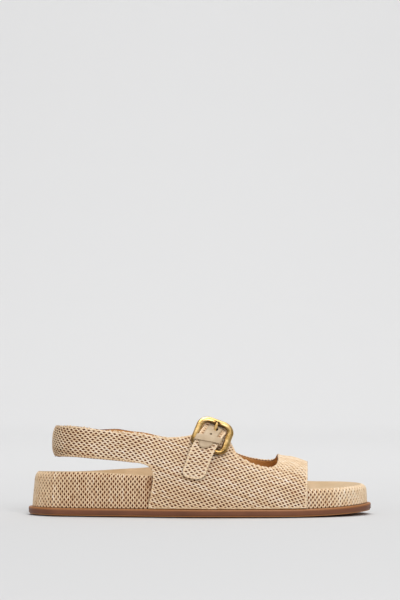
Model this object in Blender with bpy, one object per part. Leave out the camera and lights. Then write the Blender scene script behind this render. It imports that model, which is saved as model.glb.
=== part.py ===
"""Raffia slingback sandal, right shoe: outsole, footbed, sock, one-wall upper, buckled instep strap.

The toe points along +X, the inner (medial) side of the foot is +Y, and the shoe stands on Z = 0.
All sizes below are millimetres. The mesh is written in metres.
"""

import math
from collections import namedtuple

import bmesh
import bpy
import numpy as np
from mathutils import Matrix, Vector

MM = 0.001
GAP = 0.3
SHARP_ANGLE = 40.0

# Sole: driving sizes
SOLE_LENGTH = 262.0
OUTSOLE_THICK = 6.5
LIP = 2.7
TOE_SPRING = 2.6
TOE_SPRING_FROM = 66.0
TOE_SPRING_POWER = 2.2
RIM_LEAN_HEEL = 1.6
RIM_LEAN_TOE = 0.5
RIM_ROLL_WIDTH = 4.0
RIM_ROLL_SHARE = 0.34
RIM_ROLL_STEPS = 3
RIM_BULGE = 0.45
FLAT_SHARE = 0.45
SPINE_HEEL = 0.37
SPINE_TOE = 0.35
BED_SHARES = (0.0, 0.14, 0.30, 0.50, 0.72)
BED_FALL = 2.3
SOCK_SUNK = 1.0
SOCK_THICK = 2.0
SOCK_INSET = 6.6
HALF_STATIONS = 34

# Upper: driving sizes
WALL = 2.2
HEEL_CENTRE = -78.0
HEEL_RADIUS = 30.0
TOE_BAND_BACK = 59.2
TOE_BAND_FRONT = 81.8
TOE_BAND_FOOT = 79.8
QUARTER_BACK_FOOT = -38.8
SOLE_HOLD_FROM = -40.0
SOLE_HOLD_FADE = 24.0
PATTERN_STEP = 3.0
GRID_STATION = 7.0
GRID_GIRTH = 11
WELD = 0.9
INSIDE_HEIGHT = 30.0
INSIDE_SHARE = 0.7

# Instep strap and buckle: driving sizes
STRAP_WIDTH = 17.0
STRAP_THICK = 1.8
STRAP_TIP_ROUND = 4.5
STRAP_STEP = 3.4
STRAP_EDGE_TURN = 0.15
HINGE_HEIGHT = 49.0
STRAP_TIP = -22.3
STRAP_END = 78.0
PATCH_WIDTH = 10.0
PATCH_THICK = 0.6
PATCH_TIP = -0.8
PATCH_TIP_ROUND = 4.9
PATCH_END = 34.0
BAR = 3.5
BAR_WIDE = 4.4
FRAME_WIDTH = 28.7
FRAME_SHIFT = 1.0
FRAME_CORNER_TOP = 9.1
FRAME_CORNER_HINGE = 7.05
TOP_BAR_OUT = 1.1
HINGE_BAR_OUT = 0.45
BAR_SIDES = 8
CORNER_STEPS = 4
NOTCH_FLOOR = 0.9
TOP_BAR_AT = 23.3
HINGE_AT = 2.7
HINGE_ROOM = 0.7
FRAME_SKEW = 5.5
PRONG = 2.4
PRONG_POINT = 2.0
PRONG_ACROSS = 1.0
PRONG_HOLE_AT = 18.4
PRONG_HOLE = 3.2
FREE_HOLE_AT = 11.0
FREE_HOLE = 0.85
HOLE_CUTTER_TALL = 15.0
HOLE_SIDES = 10
KEEPER_FROM = 4.2
KEEPER_WIDE = 4.6
KEEPER_THICK = 0.7
KEEPER_ROOM = 0.2

SoleRow = namedtuple("SoleRow", "x lateral medial rim_lateral rim_medial cup")
SOLE = [
    SoleRow(-131, -0.5, -0.5, 33.2, 33.2, 6.8),
    SoleRow(-126, -14.0, 13.0, 33.5, 32.4, 6.8),
    SoleRow(-113, -25.0, 24.0, 33.8, 31.9, 6.9),
    SoleRow(-88, -31.8, 30.6, 33.8, 32.0, 7.0),
    SoleRow(-50, -38.6, 29.6, 31.9, 34.2, 6.6),
    SoleRow(-10, -45.3, 29.6, 29.6, 36.0, 6.4),
    SoleRow(30, -46.5, 38.6, 25.2, 29.0, 5.2),
    SoleRow(62, -44.4, 46.7, 22.2, 24.2, 4.2),
    SoleRow(90, -37.9, 44.4, 21.4, 23.4, 4.0),
    SoleRow(112, -27.0, 35.6, 22.0, 23.6, 4.0),
    SoleRow(126, -11.5, 20.5, 22.6, 23.6, 3.8),
    SoleRow(131, 5.0, 5.0, 23.0, 23.0, 3.8),
]

SideRow = namedtuple("SideRow", "inset height")
OUTSOLE_SIDE = [
    SideRow(1.3, 0.0),
    SideRow(0.6, 0.6),
    SideRow(0.6, 1.7),
    SideRow(0.0, 2.2),
    SideRow(0.0, 5.9),
    SideRow(0.6, 6.5),
]

LastRow = namedtuple("LastRow", "u crest ridge reach full steep")
LAST = [
    LastRow(-126, 210, -0.5, 33.4, 2.0, 2.0),
    LastRow(-100, 180, -0.5, 31.0, 2.0, 2.0),
    LastRow(-78, 150, -0.5, 29.3, 2.0, 2.0),
    LastRow(-58, 125, -1.0, 32.0, 2.0, 2.0),
    LastRow(-38, 94, -2.0, 36.5, 2.05, 2.1),
    LastRow(-15, 77, -3.5, 40.0, 2.2, 2.3),
    LastRow(11, 69.0, -4.0, 40.0, 2.1, 2.2),
    LastRow(28, 62.2, -2.5, 42.0, 2.1, 2.2),
    LastRow(45, 52.5, 1.0, 44.0, 2.2, 2.4),
    LastRow(61, 43.4, 4.0, 44.0, 2.3, 2.7),
    LastRow(71, 41.9, 5.0, 44.0, 2.3, 2.8),
    LastRow(82, 38.2, 6.0, 44.0, 2.3, 2.9),
]

EdgeRow = namedtuple("EdgeRow", "u lateral medial")
COLLAR = [
    EdgeRow(3.4, 64.0, 62.4),
    EdgeRow(-3.5, 61.8, 60.4),
    EdgeRow(-10, 60.2, 58.6),
    EdgeRow(-22, 59.5, 57.6),
    EdgeRow(-38, 61.4, 60.3),
    EdgeRow(-55, 63.5, 63.3),
    EdgeRow(-65, 64.4, 64.3),
    EdgeRow(-75, 65.4, 63.6),
    EdgeRow(-85, 66.9, 64.2),
    EdgeRow(-95, 67.9, 65.5),
    EdgeRow(-110, 67.8, 66.6),
]
SLING_TOP_BACK = 67.4
CUT_OUT = [
    EdgeRow(58.5, 40.7, 41.5),
    EdgeRow(56.2, 37.7, 39.5),
    EdgeRow(52.0, 36.6, 39.3),
    EdgeRow(46.5, 37.4, 39.9),
    EdgeRow(40.5, 39.2, 41.1),
    EdgeRow(34.0, 42.2, 43.0),
    EdgeRow(28.2, 46.0, 45.4),
    EdgeRow(24.6, 52.0, 50.6),
    EdgeRow(22.0, 57.4, 56.4),
    EdgeRow(19.4, 60.0, 58.8),
]
SLING_FOOT_BACK = 45.2
SLING_FOOT = [
    EdgeRow(-110, 45.1, 45.1),
    EdgeRow(-92, 45.0, 44.8),
    EdgeRow(-65, 42.8, 42.5),
    EdgeRow(-52, 41.4, 41.0),
    EdgeRow(-44, 40.5, 40.1),
    EdgeRow(-39.6, 39.0, 38.6),
    EdgeRow(-36.6, 36.4, 36.0),
    EdgeRow(-35.2, 32.6, 32.3),
    EdgeRow(-35.3, 27.5, 27.3),
    EdgeRow(-36.6, 18.0, 18.0),
]

LeanRow = namedtuple("LeanRow", "height x")
STRAP_LEAN = [
    LeanRow(29, -5.7),
    LeanRow(40, -1.7),
    LeanRow(48, 1.6),
    LeanRow(53, 4.4),
    LeanRow(58, 7.4),
    LeanRow(64, 11.0),
    LeanRow(70, 13.6),
]

RiseRow = namedtuple("RiseRow", "along offset")
STRAP_RISE = [
    RiseRow(-26, 2.6),
    RiseRow(-12, 4.9),
    RiseRow(-3.5, 7.2),
    RiseRow(2.5, 7.8),
    RiseRow(8, 7.45),
    RiseRow(13, 6.0),
    RiseRow(17, 4.3),
    RiseRow(21.8, 2.9),
    RiseRow(26, 2.4),
    RiseRow(34, 0.4),
    RiseRow(43, -0.8),
    RiseRow(52, 0.4),
    RiseRow(60, 2.4),
    RiseRow(66, 2.5),
    RiseRow(82, 2.5),
]

ProngRow = namedtuple("ProngRow", "along height")
PRONG_PATH = [
    ProngRow(0.095, 0.2),
    ProngRow(0.285, -0.2),
    ProngRow(0.477, -0.64),
    ProngRow(0.594, -1.13),
    ProngRow(0.656, -1.2),
    ProngRow(0.74, -0.72),
    ProngRow(0.844, 0.93),
    ProngRow(0.923, 2.2),
    ProngRow(1.0, 2.2),
]


def column(rows, name):
    """One named column of a table, as numbers."""
    return np.array([getattr(row, name) for row in rows], float)


def smooth(knots, values, at):
    """A smooth curve through the rows of a table, read at any place."""
    knots = np.asarray(knots, float)
    values = np.asarray(values, float)
    at = np.clip(np.asarray(at, float), knots.min(), knots.max())
    order = np.argsort(knots)
    knots, values = knots[order], values[order]
    slope = np.gradient(values, knots)
    i = np.clip(np.searchsorted(knots, at) - 1, 0, len(knots) - 2)
    width = knots[i + 1] - knots[i]
    f = (at - knots[i]) / width
    start = (1 + 2 * f) * (1 - f) ** 2 * values[i] + f * (1 - f) ** 2 * width * slope[i]
    end = f * f * (3 - 2 * f) * values[i + 1] - f * f * (1 - f) * width * slope[i + 1]
    return start + end


def ease(f):
    """Smooth step from 0 to 1."""
    f = np.clip(f, 0.0, 1.0)
    return f * f * (3 - 2 * f)


def station_turn(x):
    """Stations are spread by an angle, so that the outline is round at heel and toe."""
    return np.arccos(np.clip(-np.asarray(x, float) / (SOLE_LENGTH / 2), -1, 1))


def lift(x):
    """Toe spring of the sole."""
    f = np.clip((np.asarray(x, float) - TOE_SPRING_FROM) / (SOLE_LENGTH / 2 - TOE_SPRING_FROM), 0, 1)
    return TOE_SPRING * f**TOE_SPRING_POWER


class SoleRing:
    """The outline of the outsole as a closed ring, lateral side first, with the values of its table."""

    def __init__(self, half):
        turn = np.concatenate([np.linspace(0, math.pi, half + 1), np.linspace(math.pi, 0, half + 1)[1:-1]])
        lateral = np.arange(2 * half) <= half
        rows = station_turn(column(SOLE, "x"))

        def side(first, second):
            one = smooth(rows, column(SOLE, first), turn)
            two = smooth(rows, column(SOLE, second), turn)
            return np.where(lateral, one, two)

        self.half = half
        self.xy = np.column_stack([-SOLE_LENGTH / 2 * np.cos(turn), side("lateral", "medial")])
        self.rim = side("rim_lateral", "rim_medial")
        self.cup = smooth(rows, column(SOLE, "cup"), turn)

    def inset(self, distance):
        """The ring moved inwards by a distance."""
        tangent = np.roll(self.xy, -1, axis=0) - np.roll(self.xy, 1, axis=0)
        tangent /= np.linalg.norm(tangent, axis=1)[:, None]
        inward = np.column_stack([-tangent[:, 1], tangent[:, 0]])
        return self.xy + inward * np.asarray(distance, float).reshape(-1, 1)

    def towards_spine(self, xy, share):
        """The ring drawn in to a line down the middle of the sole."""
        heel, toe = -SOLE_LENGTH * SPINE_HEEL, SOLE_LENGTH * SPINE_TOE
        partner = np.roll(xy[::-1], 1, axis=0)
        middle = (xy + partner) / 2
        middle[:, 0] = np.clip(middle[:, 0], heel, toe)
        inside = (self.xy[:, 0] > heel) & (self.xy[:, 0] < toe)
        for end, outside in ((heel, self.xy[:, 0] <= heel), (toe, self.xy[:, 0] >= toe)):
            nearest = np.argmin(np.where(inside, abs(middle[:, 0] - end), np.inf))
            middle[outside, 1] = middle[nearest, 1]
        return xy + (middle - xy) * share


def new_object(name, mesh_data, material):
    """An object of its own for a sub-part, with its material."""
    mesh = bpy.data.meshes.new(name)
    mesh_data.to_mesh(mesh)
    mesh_data.free()
    obj = bpy.data.objects.new(name, mesh)
    bpy.context.scene.collection.objects.link(obj)
    mesh.materials.append(material)
    mesh.shade_smooth()
    mesh.set_sharp_from_angle(angle=math.radians(SHARP_ANGLE))
    return obj


def principled(name, colour, roughness, metallic=0.0):
    """A plain Principled material."""
    material = bpy.data.materials.new(name)
    material.use_nodes = True
    shader = material.node_tree.nodes["Principled BSDF"]
    shader.inputs["Base Color"].default_value = (*colour, 1.0)
    shader.inputs["Roughness"].default_value = roughness
    shader.inputs["Metallic"].default_value = metallic
    return material


def loft_rings(rings):
    """A closed solid through rings of points, its first and last ring closed by a ladder of faces."""
    bm = bmesh.new()
    loops = [[bm.verts.new(Vector(p) * MM) for p in ring] for ring in rings]
    count = len(loops[0])
    for low, high in zip(loops, loops[1:]):
        for i in range(count):
            j = (i + 1) % count
            bm.faces.new((low[i], low[j], high[j], high[i]))
    for loop in (loops[0], loops[-1]):
        for i in range(count // 2):
            rung = [loop[i], loop[i + 1], loop[-i - 1], loop[-i] if i else loop[0]]
            face = []
            for vert in rung:
                if vert not in face:
                    face.append(vert)
            bm.faces.new(face)
    bmesh.ops.recalc_face_normals(bm, faces=bm.faces)
    return bm


def with_height(xy, z):
    """Points of a ring at a height, or at one height each."""
    return np.column_stack([xy, np.broadcast_to(z, len(xy))])


def build_outsole(ring, material):
    """Rubber sole: a thin foot, a step, an upright side and a small bevel along the lip."""
    rings = []
    for row in OUTSOLE_SIDE:
        xy = ring.inset(row.inset)
        rings.append(with_height(xy, row.height + lift(xy[:, 0])))
    inner = ring.towards_spine(ring.inset(OUTSOLE_SIDE[0].inset), FLAT_SHARE)
    rings.insert(0, with_height(inner, lift(inner[:, 0])))
    inner = ring.towards_spine(ring.inset(OUTSOLE_SIDE[-1].inset), FLAT_SHARE)
    rings.append(with_height(inner, OUTSOLE_THICK + lift(inner[:, 0])))
    return new_object("outsole", loft_rings(rings), material)


def footbed_rings(ring, first_inset, rise):
    """Rings of the cupped bed from its edge inwards, raised by a thickness."""
    rings = []
    edge = ring.inset(first_inset)
    partner = np.roll(ring.rim[::-1], 1)
    for share in BED_SHARES:
        xy = ring.towards_spine(edge, share)
        inwards = share / BED_SHARES[-1]
        fall = 1 - (1 - inwards) ** BED_FALL
        rim = ring.rim + (partner - ring.rim) * inwards / 2
        rings.append(with_height(xy, rim - SOCK_THICK - SOCK_SUNK - ring.cup * fall + rise))
    return rings


def build_midsole(ring, material):
    """Footbed body: a side that leans in a little, a rolled rim, and the bed that carries the sock."""
    edge = ring.inset(LIP)
    floor = OUTSOLE_THICK + GAP + lift(edge[:, 0])
    inner = ring.towards_spine(edge, FLAT_SHARE)
    rings = [with_height(inner, OUTSOLE_THICK + GAP + lift(inner[:, 0])), with_height(edge, floor)]
    roll_tall = RIM_ROLL_SHARE * (ring.rim - floor)
    shoulder = ring.rim - roll_tall
    lean = RIM_LEAN_HEEL + (RIM_LEAN_TOE - RIM_LEAN_HEEL) * (ring.xy[:, 0] / SOLE_LENGTH + 0.5)
    rings.append(with_height(ring.inset(LIP + lean * RIM_BULGE), (floor + shoulder) / 2))
    for step in range(RIM_ROLL_STEPS + 1):
        angle = math.pi / 2 * step / RIM_ROLL_STEPS
        inset = LIP + lean + RIM_ROLL_WIDTH * (1 - math.cos(angle))
        rings.append(with_height(ring.inset(inset), shoulder + roll_tall * math.sin(angle)))
    rings.extend(footbed_rings(ring, LIP + SOCK_INSET, 0.0))
    return new_object("midsole", loft_rings(rings), material)


def build_insole(ring, material):
    """Suede sock: a thin cupped sheet that lies in the bed, rolled up to the rim."""
    edge = LIP + SOCK_INSET + 2 * GAP
    under = footbed_rings(ring, edge, GAP)
    over = footbed_rings(ring, edge, GAP + SOCK_THICK)
    return new_object("insole", loft_rings(under[::-1] + over), material)


class Last:
    """The form that the upper is pulled over, in stations along the foot and turns across it.

    A station u runs forwards along the foot. Behind the heel centre it turns round the heel instead.
    A turn runs from 0 at the lateral feather edge, over the ridge of the foot, to pi at the medial one.
    """

    def __init__(self, ring):
        edge = ring.inset(LIP - GAP)
        half = ring.half
        self.lateral = edge[: half + 1]
        self.medial = np.vstack([edge[half:], edge[:1]])[::-1]
        self.rows = column(LAST, "u")

    def read(self, name, u):
        return smooth(self.rows, column(LAST, name), u)

    def foot(self, u):
        return OUTSOLE_THICK + GAP + lift(u)

    def reach(self, u, medial):
        """How far the feather edge lies from the ridge line."""
        lateral_y = np.interp(u, self.lateral[:, 0], self.lateral[:, 1])
        medial_y = np.interp(u, self.medial[:, 0], self.medial[:, 1])
        on_sole = np.where(medial, medial_y - self.read("ridge", u), self.read("ridge", u) - lateral_y)
        hold = ease((u - SOLE_HOLD_FROM + SOLE_HOLD_FADE) / SOLE_HOLD_FADE)
        return hold * on_sole + (1 - hold) * self.read("reach", u)

    def point(self, u, turn):
        """Point on the form."""
        u, turn = np.broadcast_arrays(np.asarray(u, float), np.asarray(turn, float))
        medial = turn > math.pi / 2
        t = np.clip(np.where(medial, math.pi - turn, turn), 0, math.pi / 2)
        out = self.reach(u, medial) * np.cos(t) ** (2 / self.read("full", u))
        foot = self.foot(u)
        z = foot + (self.read("crest", u) - foot) * np.sin(t) ** (2 / self.read("steep", u))
        swing = np.clip((HEEL_CENTRE - u) / HEEL_RADIUS, 0, math.pi / 2)
        x = np.maximum(u, HEEL_CENTRE) - out * np.sin(swing)
        y = self.read("ridge", u) + np.where(medial, out, -out) * np.cos(swing)
        return np.stack([x, y, z], axis=-1)

    def normal(self, u, turn):
        """Direction out of the form."""
        du, dt = 0.4, 0.01
        u = np.asarray(u, float)
        turn = np.asarray(turn, float)
        along = self.point(u + du, turn) - self.point(u - du, turn)
        across = self.point(u, turn + dt) - self.point(u, turn - dt)
        out = np.cross(along, across)
        return out / np.linalg.norm(out, axis=-1)[..., None]

    def turn_at(self, u, z):
        """Turn on the lateral half where the form has this height."""
        foot = self.foot(u)
        share = np.clip((z - foot) / (self.read("crest", u) - foot), 0, 1)
        return np.arcsin(share ** (self.read("steep", u) / 2))


HEEL_BACK = HEEL_CENTRE - HEEL_RADIUS * math.pi / 2


def half_pattern(last, side):
    """Cut edge of one half of the upper, lateral or medial, as stations and lateral turns."""

    def edge(rows, start=None, end=None):
        points = [(row.u, getattr(row, side)) for row in rows]
        points = ([start] if start else []) + points + ([end] if end else [])
        u, z = np.array(points, float).T
        turn = last.turn_at(u, z)
        length = np.concatenate([[0], np.cumsum(np.hypot(np.diff(u), np.diff(z)))])
        steps = max(2, int(length[-1] / PATTERN_STEP))
        at = np.linspace(0, length[-1], steps + 1)
        return list(zip(smooth(length, u, at), smooth(length, turn, at)))

    ridge = math.pi / 2
    outline = [(TOE_BAND_FOOT, 0.0)]
    for share in (0.25, 0.5, 0.75):
        outline += [(TOE_BAND_FOOT + (TOE_BAND_FRONT - TOE_BAND_FOOT) * share, ridge * share)]
    outline += [(TOE_BAND_FRONT, ridge)]
    crest = float(last.read("crest", TOE_BAND_BACK))
    outline += edge(CUT_OUT, start=(TOE_BAND_BACK, crest))
    outline += edge(COLLAR, end=(HEEL_BACK, SLING_TOP_BACK))
    outline += edge(SLING_FOOT, start=(HEEL_BACK, SLING_FOOT_BACK))
    outline += [(QUARTER_BACK_FOOT, 0.0)]
    return outline


def sheet_on_last(outline, stations, turns, place):
    """A flat cut piece, divided by lines along and across it, then laid on its form."""
    bm = bmesh.new()
    bm.faces.new([bm.verts.new((u, turn, 0.0)) for u, turn in outline])
    for axis, lines in ((Vector((1, 0, 0)), stations), (Vector((0, 1, 0)), turns)):
        for line in lines:
            geom = bm.verts[:] + bm.edges[:] + bm.faces[:]
            bmesh.ops.bisect_plane(bm, geom=geom, dist=1e-5, plane_co=axis * line, plane_no=axis)
    flat = np.array([vert.co for vert in bm.verts])
    for vert, point in zip(bm.verts, place(flat[:, 0], flat[:, 1])):
        vert.co = Vector(point) * MM
    return bm


def thicken(obj, thickness):
    """Wall of even thickness, outwards from the laid sheet."""
    wall = obj.modifiers.new("wall", "SOLIDIFY")
    wall.thickness = thickness * MM
    wall.offset = 1.0
    wall.use_even_offset = True
    wall.use_quality_normals = True


def face_outwards(bm):
    """Turns a sheet so that its faces look away from the inside of the shoe."""
    bmesh.ops.recalc_face_normals(bm, faces=bm.faces)
    outward = 0.0
    for face in bm.faces:
        centre = face.calc_center_median()
        inside = Vector((centre.x * INSIDE_SHARE, 0.0, INSIDE_HEIGHT * MM))
        outward += face.normal.dot(centre - inside) * face.calc_area()
    if outward < 0:
        bmesh.ops.reverse_faces(bm, faces=bm.faces)


def build_upper(last, material):
    """One wall: toe band, quarters and slingback, cut as two halves joined at the ridge and the heel."""
    stations = np.arange(HEEL_BACK + GRID_STATION, TOE_BAND_FRONT, GRID_STATION)
    turns = np.linspace(0, math.pi / 2, GRID_GIRTH + 1)[1:-1]

    def mirrored(u, turn):
        return last.point(u, math.pi - turn)

    bm = sheet_on_last(half_pattern(last, "lateral"), stations, turns, last.point)
    medial = sheet_on_last(half_pattern(last, "medial"), stations, turns, mirrored)
    carried = bpy.data.meshes.new("medial half")
    medial.to_mesh(carried)
    medial.free()
    bm.from_mesh(carried)
    bpy.data.meshes.remove(carried)
    bmesh.ops.remove_doubles(bm, verts=bm.verts, dist=WELD * MM)
    bmesh.ops.dissolve_degenerate(bm, edges=bm.edges, dist=WELD * MM / 20)
    bmesh.ops.triangulate(bm, faces=[f for f in bm.faces if len(f.verts) > 4])
    face_outwards(bm)
    upper = new_object("upper", bm, material)
    thicken(upper, WALL)
    return upper


class StrapPath:
    """The strap's middle line over the form, measured from the hinge bar of the buckle."""

    def __init__(self, last):
        self.last = last
        turn = np.linspace(STRAP_EDGE_TURN, math.pi - STRAP_EDGE_TURN, 240)
        u = np.zeros_like(turn)
        for _ in range(40):
            z = last.point(u, turn)[:, 2]
            u = 0.5 * u + 0.5 * smooth(column(STRAP_LEAN, "height"), column(STRAP_LEAN, "x"), z)
        points = last.point(u, turn)
        along = np.concatenate([[0], np.cumsum(np.linalg.norm(np.diff(points, axis=0), axis=1))])
        lateral = turn < math.pi / 2
        start = np.interp(HINGE_HEIGHT, points[lateral, 2], along[lateral])
        self.along, self.turn, self.u = along - start, turn, u

    def point(self, along, across, offset):
        """Point at a distance along the strap, a distance across it and an offset off the form."""
        along = np.asarray(along, float)
        turn = np.interp(along, self.along, self.turn)
        u = np.interp(along, self.along, self.u) + across
        return self.last.point(u, turn) + self.last.normal(u, turn) * np.asarray(offset, float)[..., None]

    def rise(self, along):
        """Offset of the strap's inner face, which lifts over the hinge bar and dips under the top bar."""
        return smooth(column(STRAP_RISE, "along"), column(STRAP_RISE, "offset"), along)


def rounded_end_strip(start, end, width, corner):
    """Outline of a strip with rounded corners at its start."""
    half = width / 2
    outline = []
    for sign, first in ((1, 90), (-1, 180)):
        for step in range(4):
            angle = math.radians(first + 30 * step)
            along = start + corner + corner * math.cos(angle)
            outline.append((along, sign * (half - corner) + corner * math.sin(angle)))
    return outline + [(end, -half), (end, half)]


def build_strip(name, path, outline, rise, thickness, material):
    """A strip that follows the strap's path at a given rise, with its wall outwards."""
    ends = [along for along, _ in outline]
    stations = np.arange(min(ends) + STRAP_STEP, max(ends) - STRAP_STEP / 2, STRAP_STEP)
    lines = (-PATCH_WIDTH / 3, PATCH_WIDTH / 3)

    def place(along, across):
        return path.point(along, across, rise(along))

    bm = sheet_on_last(outline, stations, lines, place)
    bmesh.ops.remove_doubles(bm, verts=bm.verts, dist=WELD * MM / 5)
    bmesh.ops.triangulate(bm, faces=[f for f in bm.faces if len(f.verts) > 4])
    face_outwards(bm)
    strip = new_object(name, bm, material)
    thicken(strip, thickness)
    return strip


def cutter(name, obj_mesh):
    """A hidden wire object that only cuts others."""
    mesh = bpy.data.meshes.new(name)
    obj_mesh.to_mesh(mesh)
    obj_mesh.free()
    obj = bpy.data.objects.new(name, mesh)
    bpy.context.scene.collection.objects.link(obj)
    obj.hide_render = True
    obj.display_type = "WIRE"
    return obj


def cut(obj, tool):
    """Takes one solid out of another."""
    difference = obj.modifiers.new("cut " + tool.name, "BOOLEAN")
    difference.operation = "DIFFERENCE"
    difference.solver = "EXACT"
    difference.object = tool


def hole_cutter(name, path, along, radius):
    """Round cutter square to the strap, from the form to well above the patch."""
    low = Vector(path.point(along, 0.0, 0.0))
    high = Vector(path.point(along, 0.0, HOLE_CUTTER_TALL))
    turn = (high - low).to_track_quat("Z", "Y").to_matrix().to_4x4()
    size = radius * MM
    bm = bmesh.new()
    bmesh.ops.create_cone(
        bm, cap_ends=True, segments=HOLE_SIDES, radius1=size, radius2=size, depth=HOLE_CUTTER_TALL * MM
    )
    bm.transform(Matrix.Translation((low + high) / 2 * MM) @ turn)
    return cutter(name, bm)


def build_keeper(path, material):
    """Leather loop that goes under the strap, up beside it and over it."""
    half = STRAP_WIDTH / 2 + KEEPER_ROOM
    rows = np.linspace(KEEPER_FROM, KEEPER_FROM + KEEPER_WIDE, 3)
    bm = bmesh.new()
    loops = []
    for along in rows:
        low = float(path.rise(along)) - GAP - KEEPER_THICK
        top = float(path.rise(along)) + STRAP_THICK + PATCH_THICK + 2 * GAP
        outer = half + KEEPER_THICK
        inside = [(-half, low + KEEPER_THICK), (0, low + KEEPER_THICK), (half, low + KEEPER_THICK)]
        inside += [(half, top), (0, top), (-half, top)]
        outside = [(-outer, low), (0, low), (outer, low)]
        outside += [(outer, top + KEEPER_THICK), (0, top + KEEPER_THICK), (-outer, top + KEEPER_THICK)]
        ring = []
        for shape in (inside, outside):
            ring.append([bm.verts.new(Vector(path.point(along, a, o)) * MM) for a, o in shape])
        loops.append(ring)
    count = len(loops[0][0])
    for i in range(count):
        j = (i + 1) % count
        for near, far in zip(loops, loops[1:]):
            for skin in (0, 1):
                bm.faces.new((near[skin][i], near[skin][j], far[skin][j], far[skin][i]))
        for end in (loops[0], loops[-1]):
            bm.faces.new((end[0][i], end[0][j], end[1][j], end[1][i]))
    bmesh.ops.recalc_face_normals(bm, faces=bm.faces)
    return new_object("keeper", bm, material)


class BuckleSeat:
    """Place of the buckle: its hinge bar on the quarter, its top bar on the strap."""

    def __init__(self, path):
        hinge_offset = WALL + HINGE_ROOM + BAR / 2
        top_offset = float(path.rise(TOP_BAR_AT)) + STRAP_THICK + PATCH_THICK + 2 * GAP + BAR / 2
        self.hinge = Vector(path.point(HINGE_AT, 0.0, hinge_offset))
        self.top = Vector(path.point(TOP_BAR_AT, 0.0, top_offset))
        self.length = (self.top - self.hinge).length
        up = (self.top - self.hinge).normalized()
        middle, reach = (HINGE_AT + TOP_BAR_AT) / 2, STRAP_WIDTH / 2
        front = Vector(path.point(middle, reach, WALL)) - Vector(path.point(middle, -reach, WALL))
        front = (front - up * front.dot(up)).normalized()
        out = front.cross(up)
        if out.y > 0:
            out = -out
        centre = Vector((0.0, self.length / 2, 0.0))
        skew = Matrix.Translation(centre) @ Matrix.Rotation(math.radians(FRAME_SKEW), 4, "Z")
        axes = Matrix((front, up, out)).transposed().to_4x4()
        self.matrix = Matrix.Translation(self.hinge) @ axes @ skew @ Matrix.Translation(-centre)

    def place(self, across, along, height):
        return self.matrix @ Vector((across, along, height))


def round_bar(points, sizes, closed, out=None, spread=1.0):
    """A round bar through a row of points, with a radius at each, or spread in the plane square to out."""
    bm = bmesh.new()
    count = len(points)
    circle = [2 * math.pi * k / BAR_SIDES for k in range(BAR_SIDES)]
    rings = []
    side = Vector()
    for i, here in enumerate(points):
        before = points[i - 1] if closed or i else here
        after = points[(i + 1) % count] if closed or i < count - 1 else here
        along = (after - before).normalized()
        side = (side - along * side.dot(along)) if i else along.orthogonal()
        if out:
            side = along.cross(out)
        side.normalize()
        other = along.cross(side)
        ring = [here + (side * math.cos(turn) * spread + other * math.sin(turn)) * sizes[i] for turn in circle]
        rings.append([bm.verts.new(point * MM) for point in ring])
    pairs = list(zip(rings, rings[1:]))
    if closed:
        pairs.append((rings[-1], rings[0]))
    else:
        bm.faces.new(rings[0])
        bm.faces.new(rings[-1])
    for near, far in pairs:
        for k in range(BAR_SIDES):
            j = (k + 1) % BAR_SIDES
            bm.faces.new((near[k], near[j], far[j], far[k]))
    bmesh.ops.recalc_face_normals(bm, faces=bm.faces)
    return bm


def build_buckle(seat, material):
    """Rounded frame of softly flattened bar, notched where the prong lands."""
    half = (FRAME_WIDTH - BAR_WIDE) / 2
    points = []
    for quarter in range(4):
        right = 1 if quarter in (0, 3) else -1
        corner = (FRAME_CORNER_TOP if quarter < 2 else FRAME_CORNER_HINGE) - BAR_WIDE / 2
        along = seat.length + TOP_BAR_OUT - corner if quarter < 2 else corner - HINGE_BAR_OUT
        for step in range(CORNER_STEPS + 1):
            angle = math.pi / 2 * (quarter + step / CORNER_STEPS)
            across = FRAME_SHIFT + right * (half - corner) + corner * math.cos(angle)
            points.append(seat.place(across, along + corner * math.sin(angle), 0.0))
    out = (seat.matrix.to_3x3() @ Vector((0, 0, 1))).normalized()
    bar = round_bar(points, [BAR / 2] * len(points), True, out, BAR_WIDE / BAR)
    frame = new_object("buckle_frame", bar, material)
    notch = bmesh.new()
    bmesh.ops.create_cube(notch, size=MM)
    notch.transform(Matrix.Diagonal((PRONG + 4 * GAP, 2 * BAR, BAR, 1.0)))
    centre = seat.place(PRONG_ACROSS, seat.length, NOTCH_FLOOR + BAR / 2)
    notch.transform(Matrix.Translation(centre * MM) @ seat.matrix.to_3x3().to_4x4())
    cut(frame, cutter("prong notch", notch))
    return frame


def build_prong(seat, material):
    """Prong from the hinge bar, up through the strap, into the notch of the top bar."""
    points = [seat.place(PRONG_ACROSS, row.along * seat.length, row.height) for row in PRONG_PATH]
    sizes = [PRONG / 2] * (len(points) - 1) + [PRONG_POINT / 2]
    return new_object("buckle_prong", round_bar(points, sizes, False), material)


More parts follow.
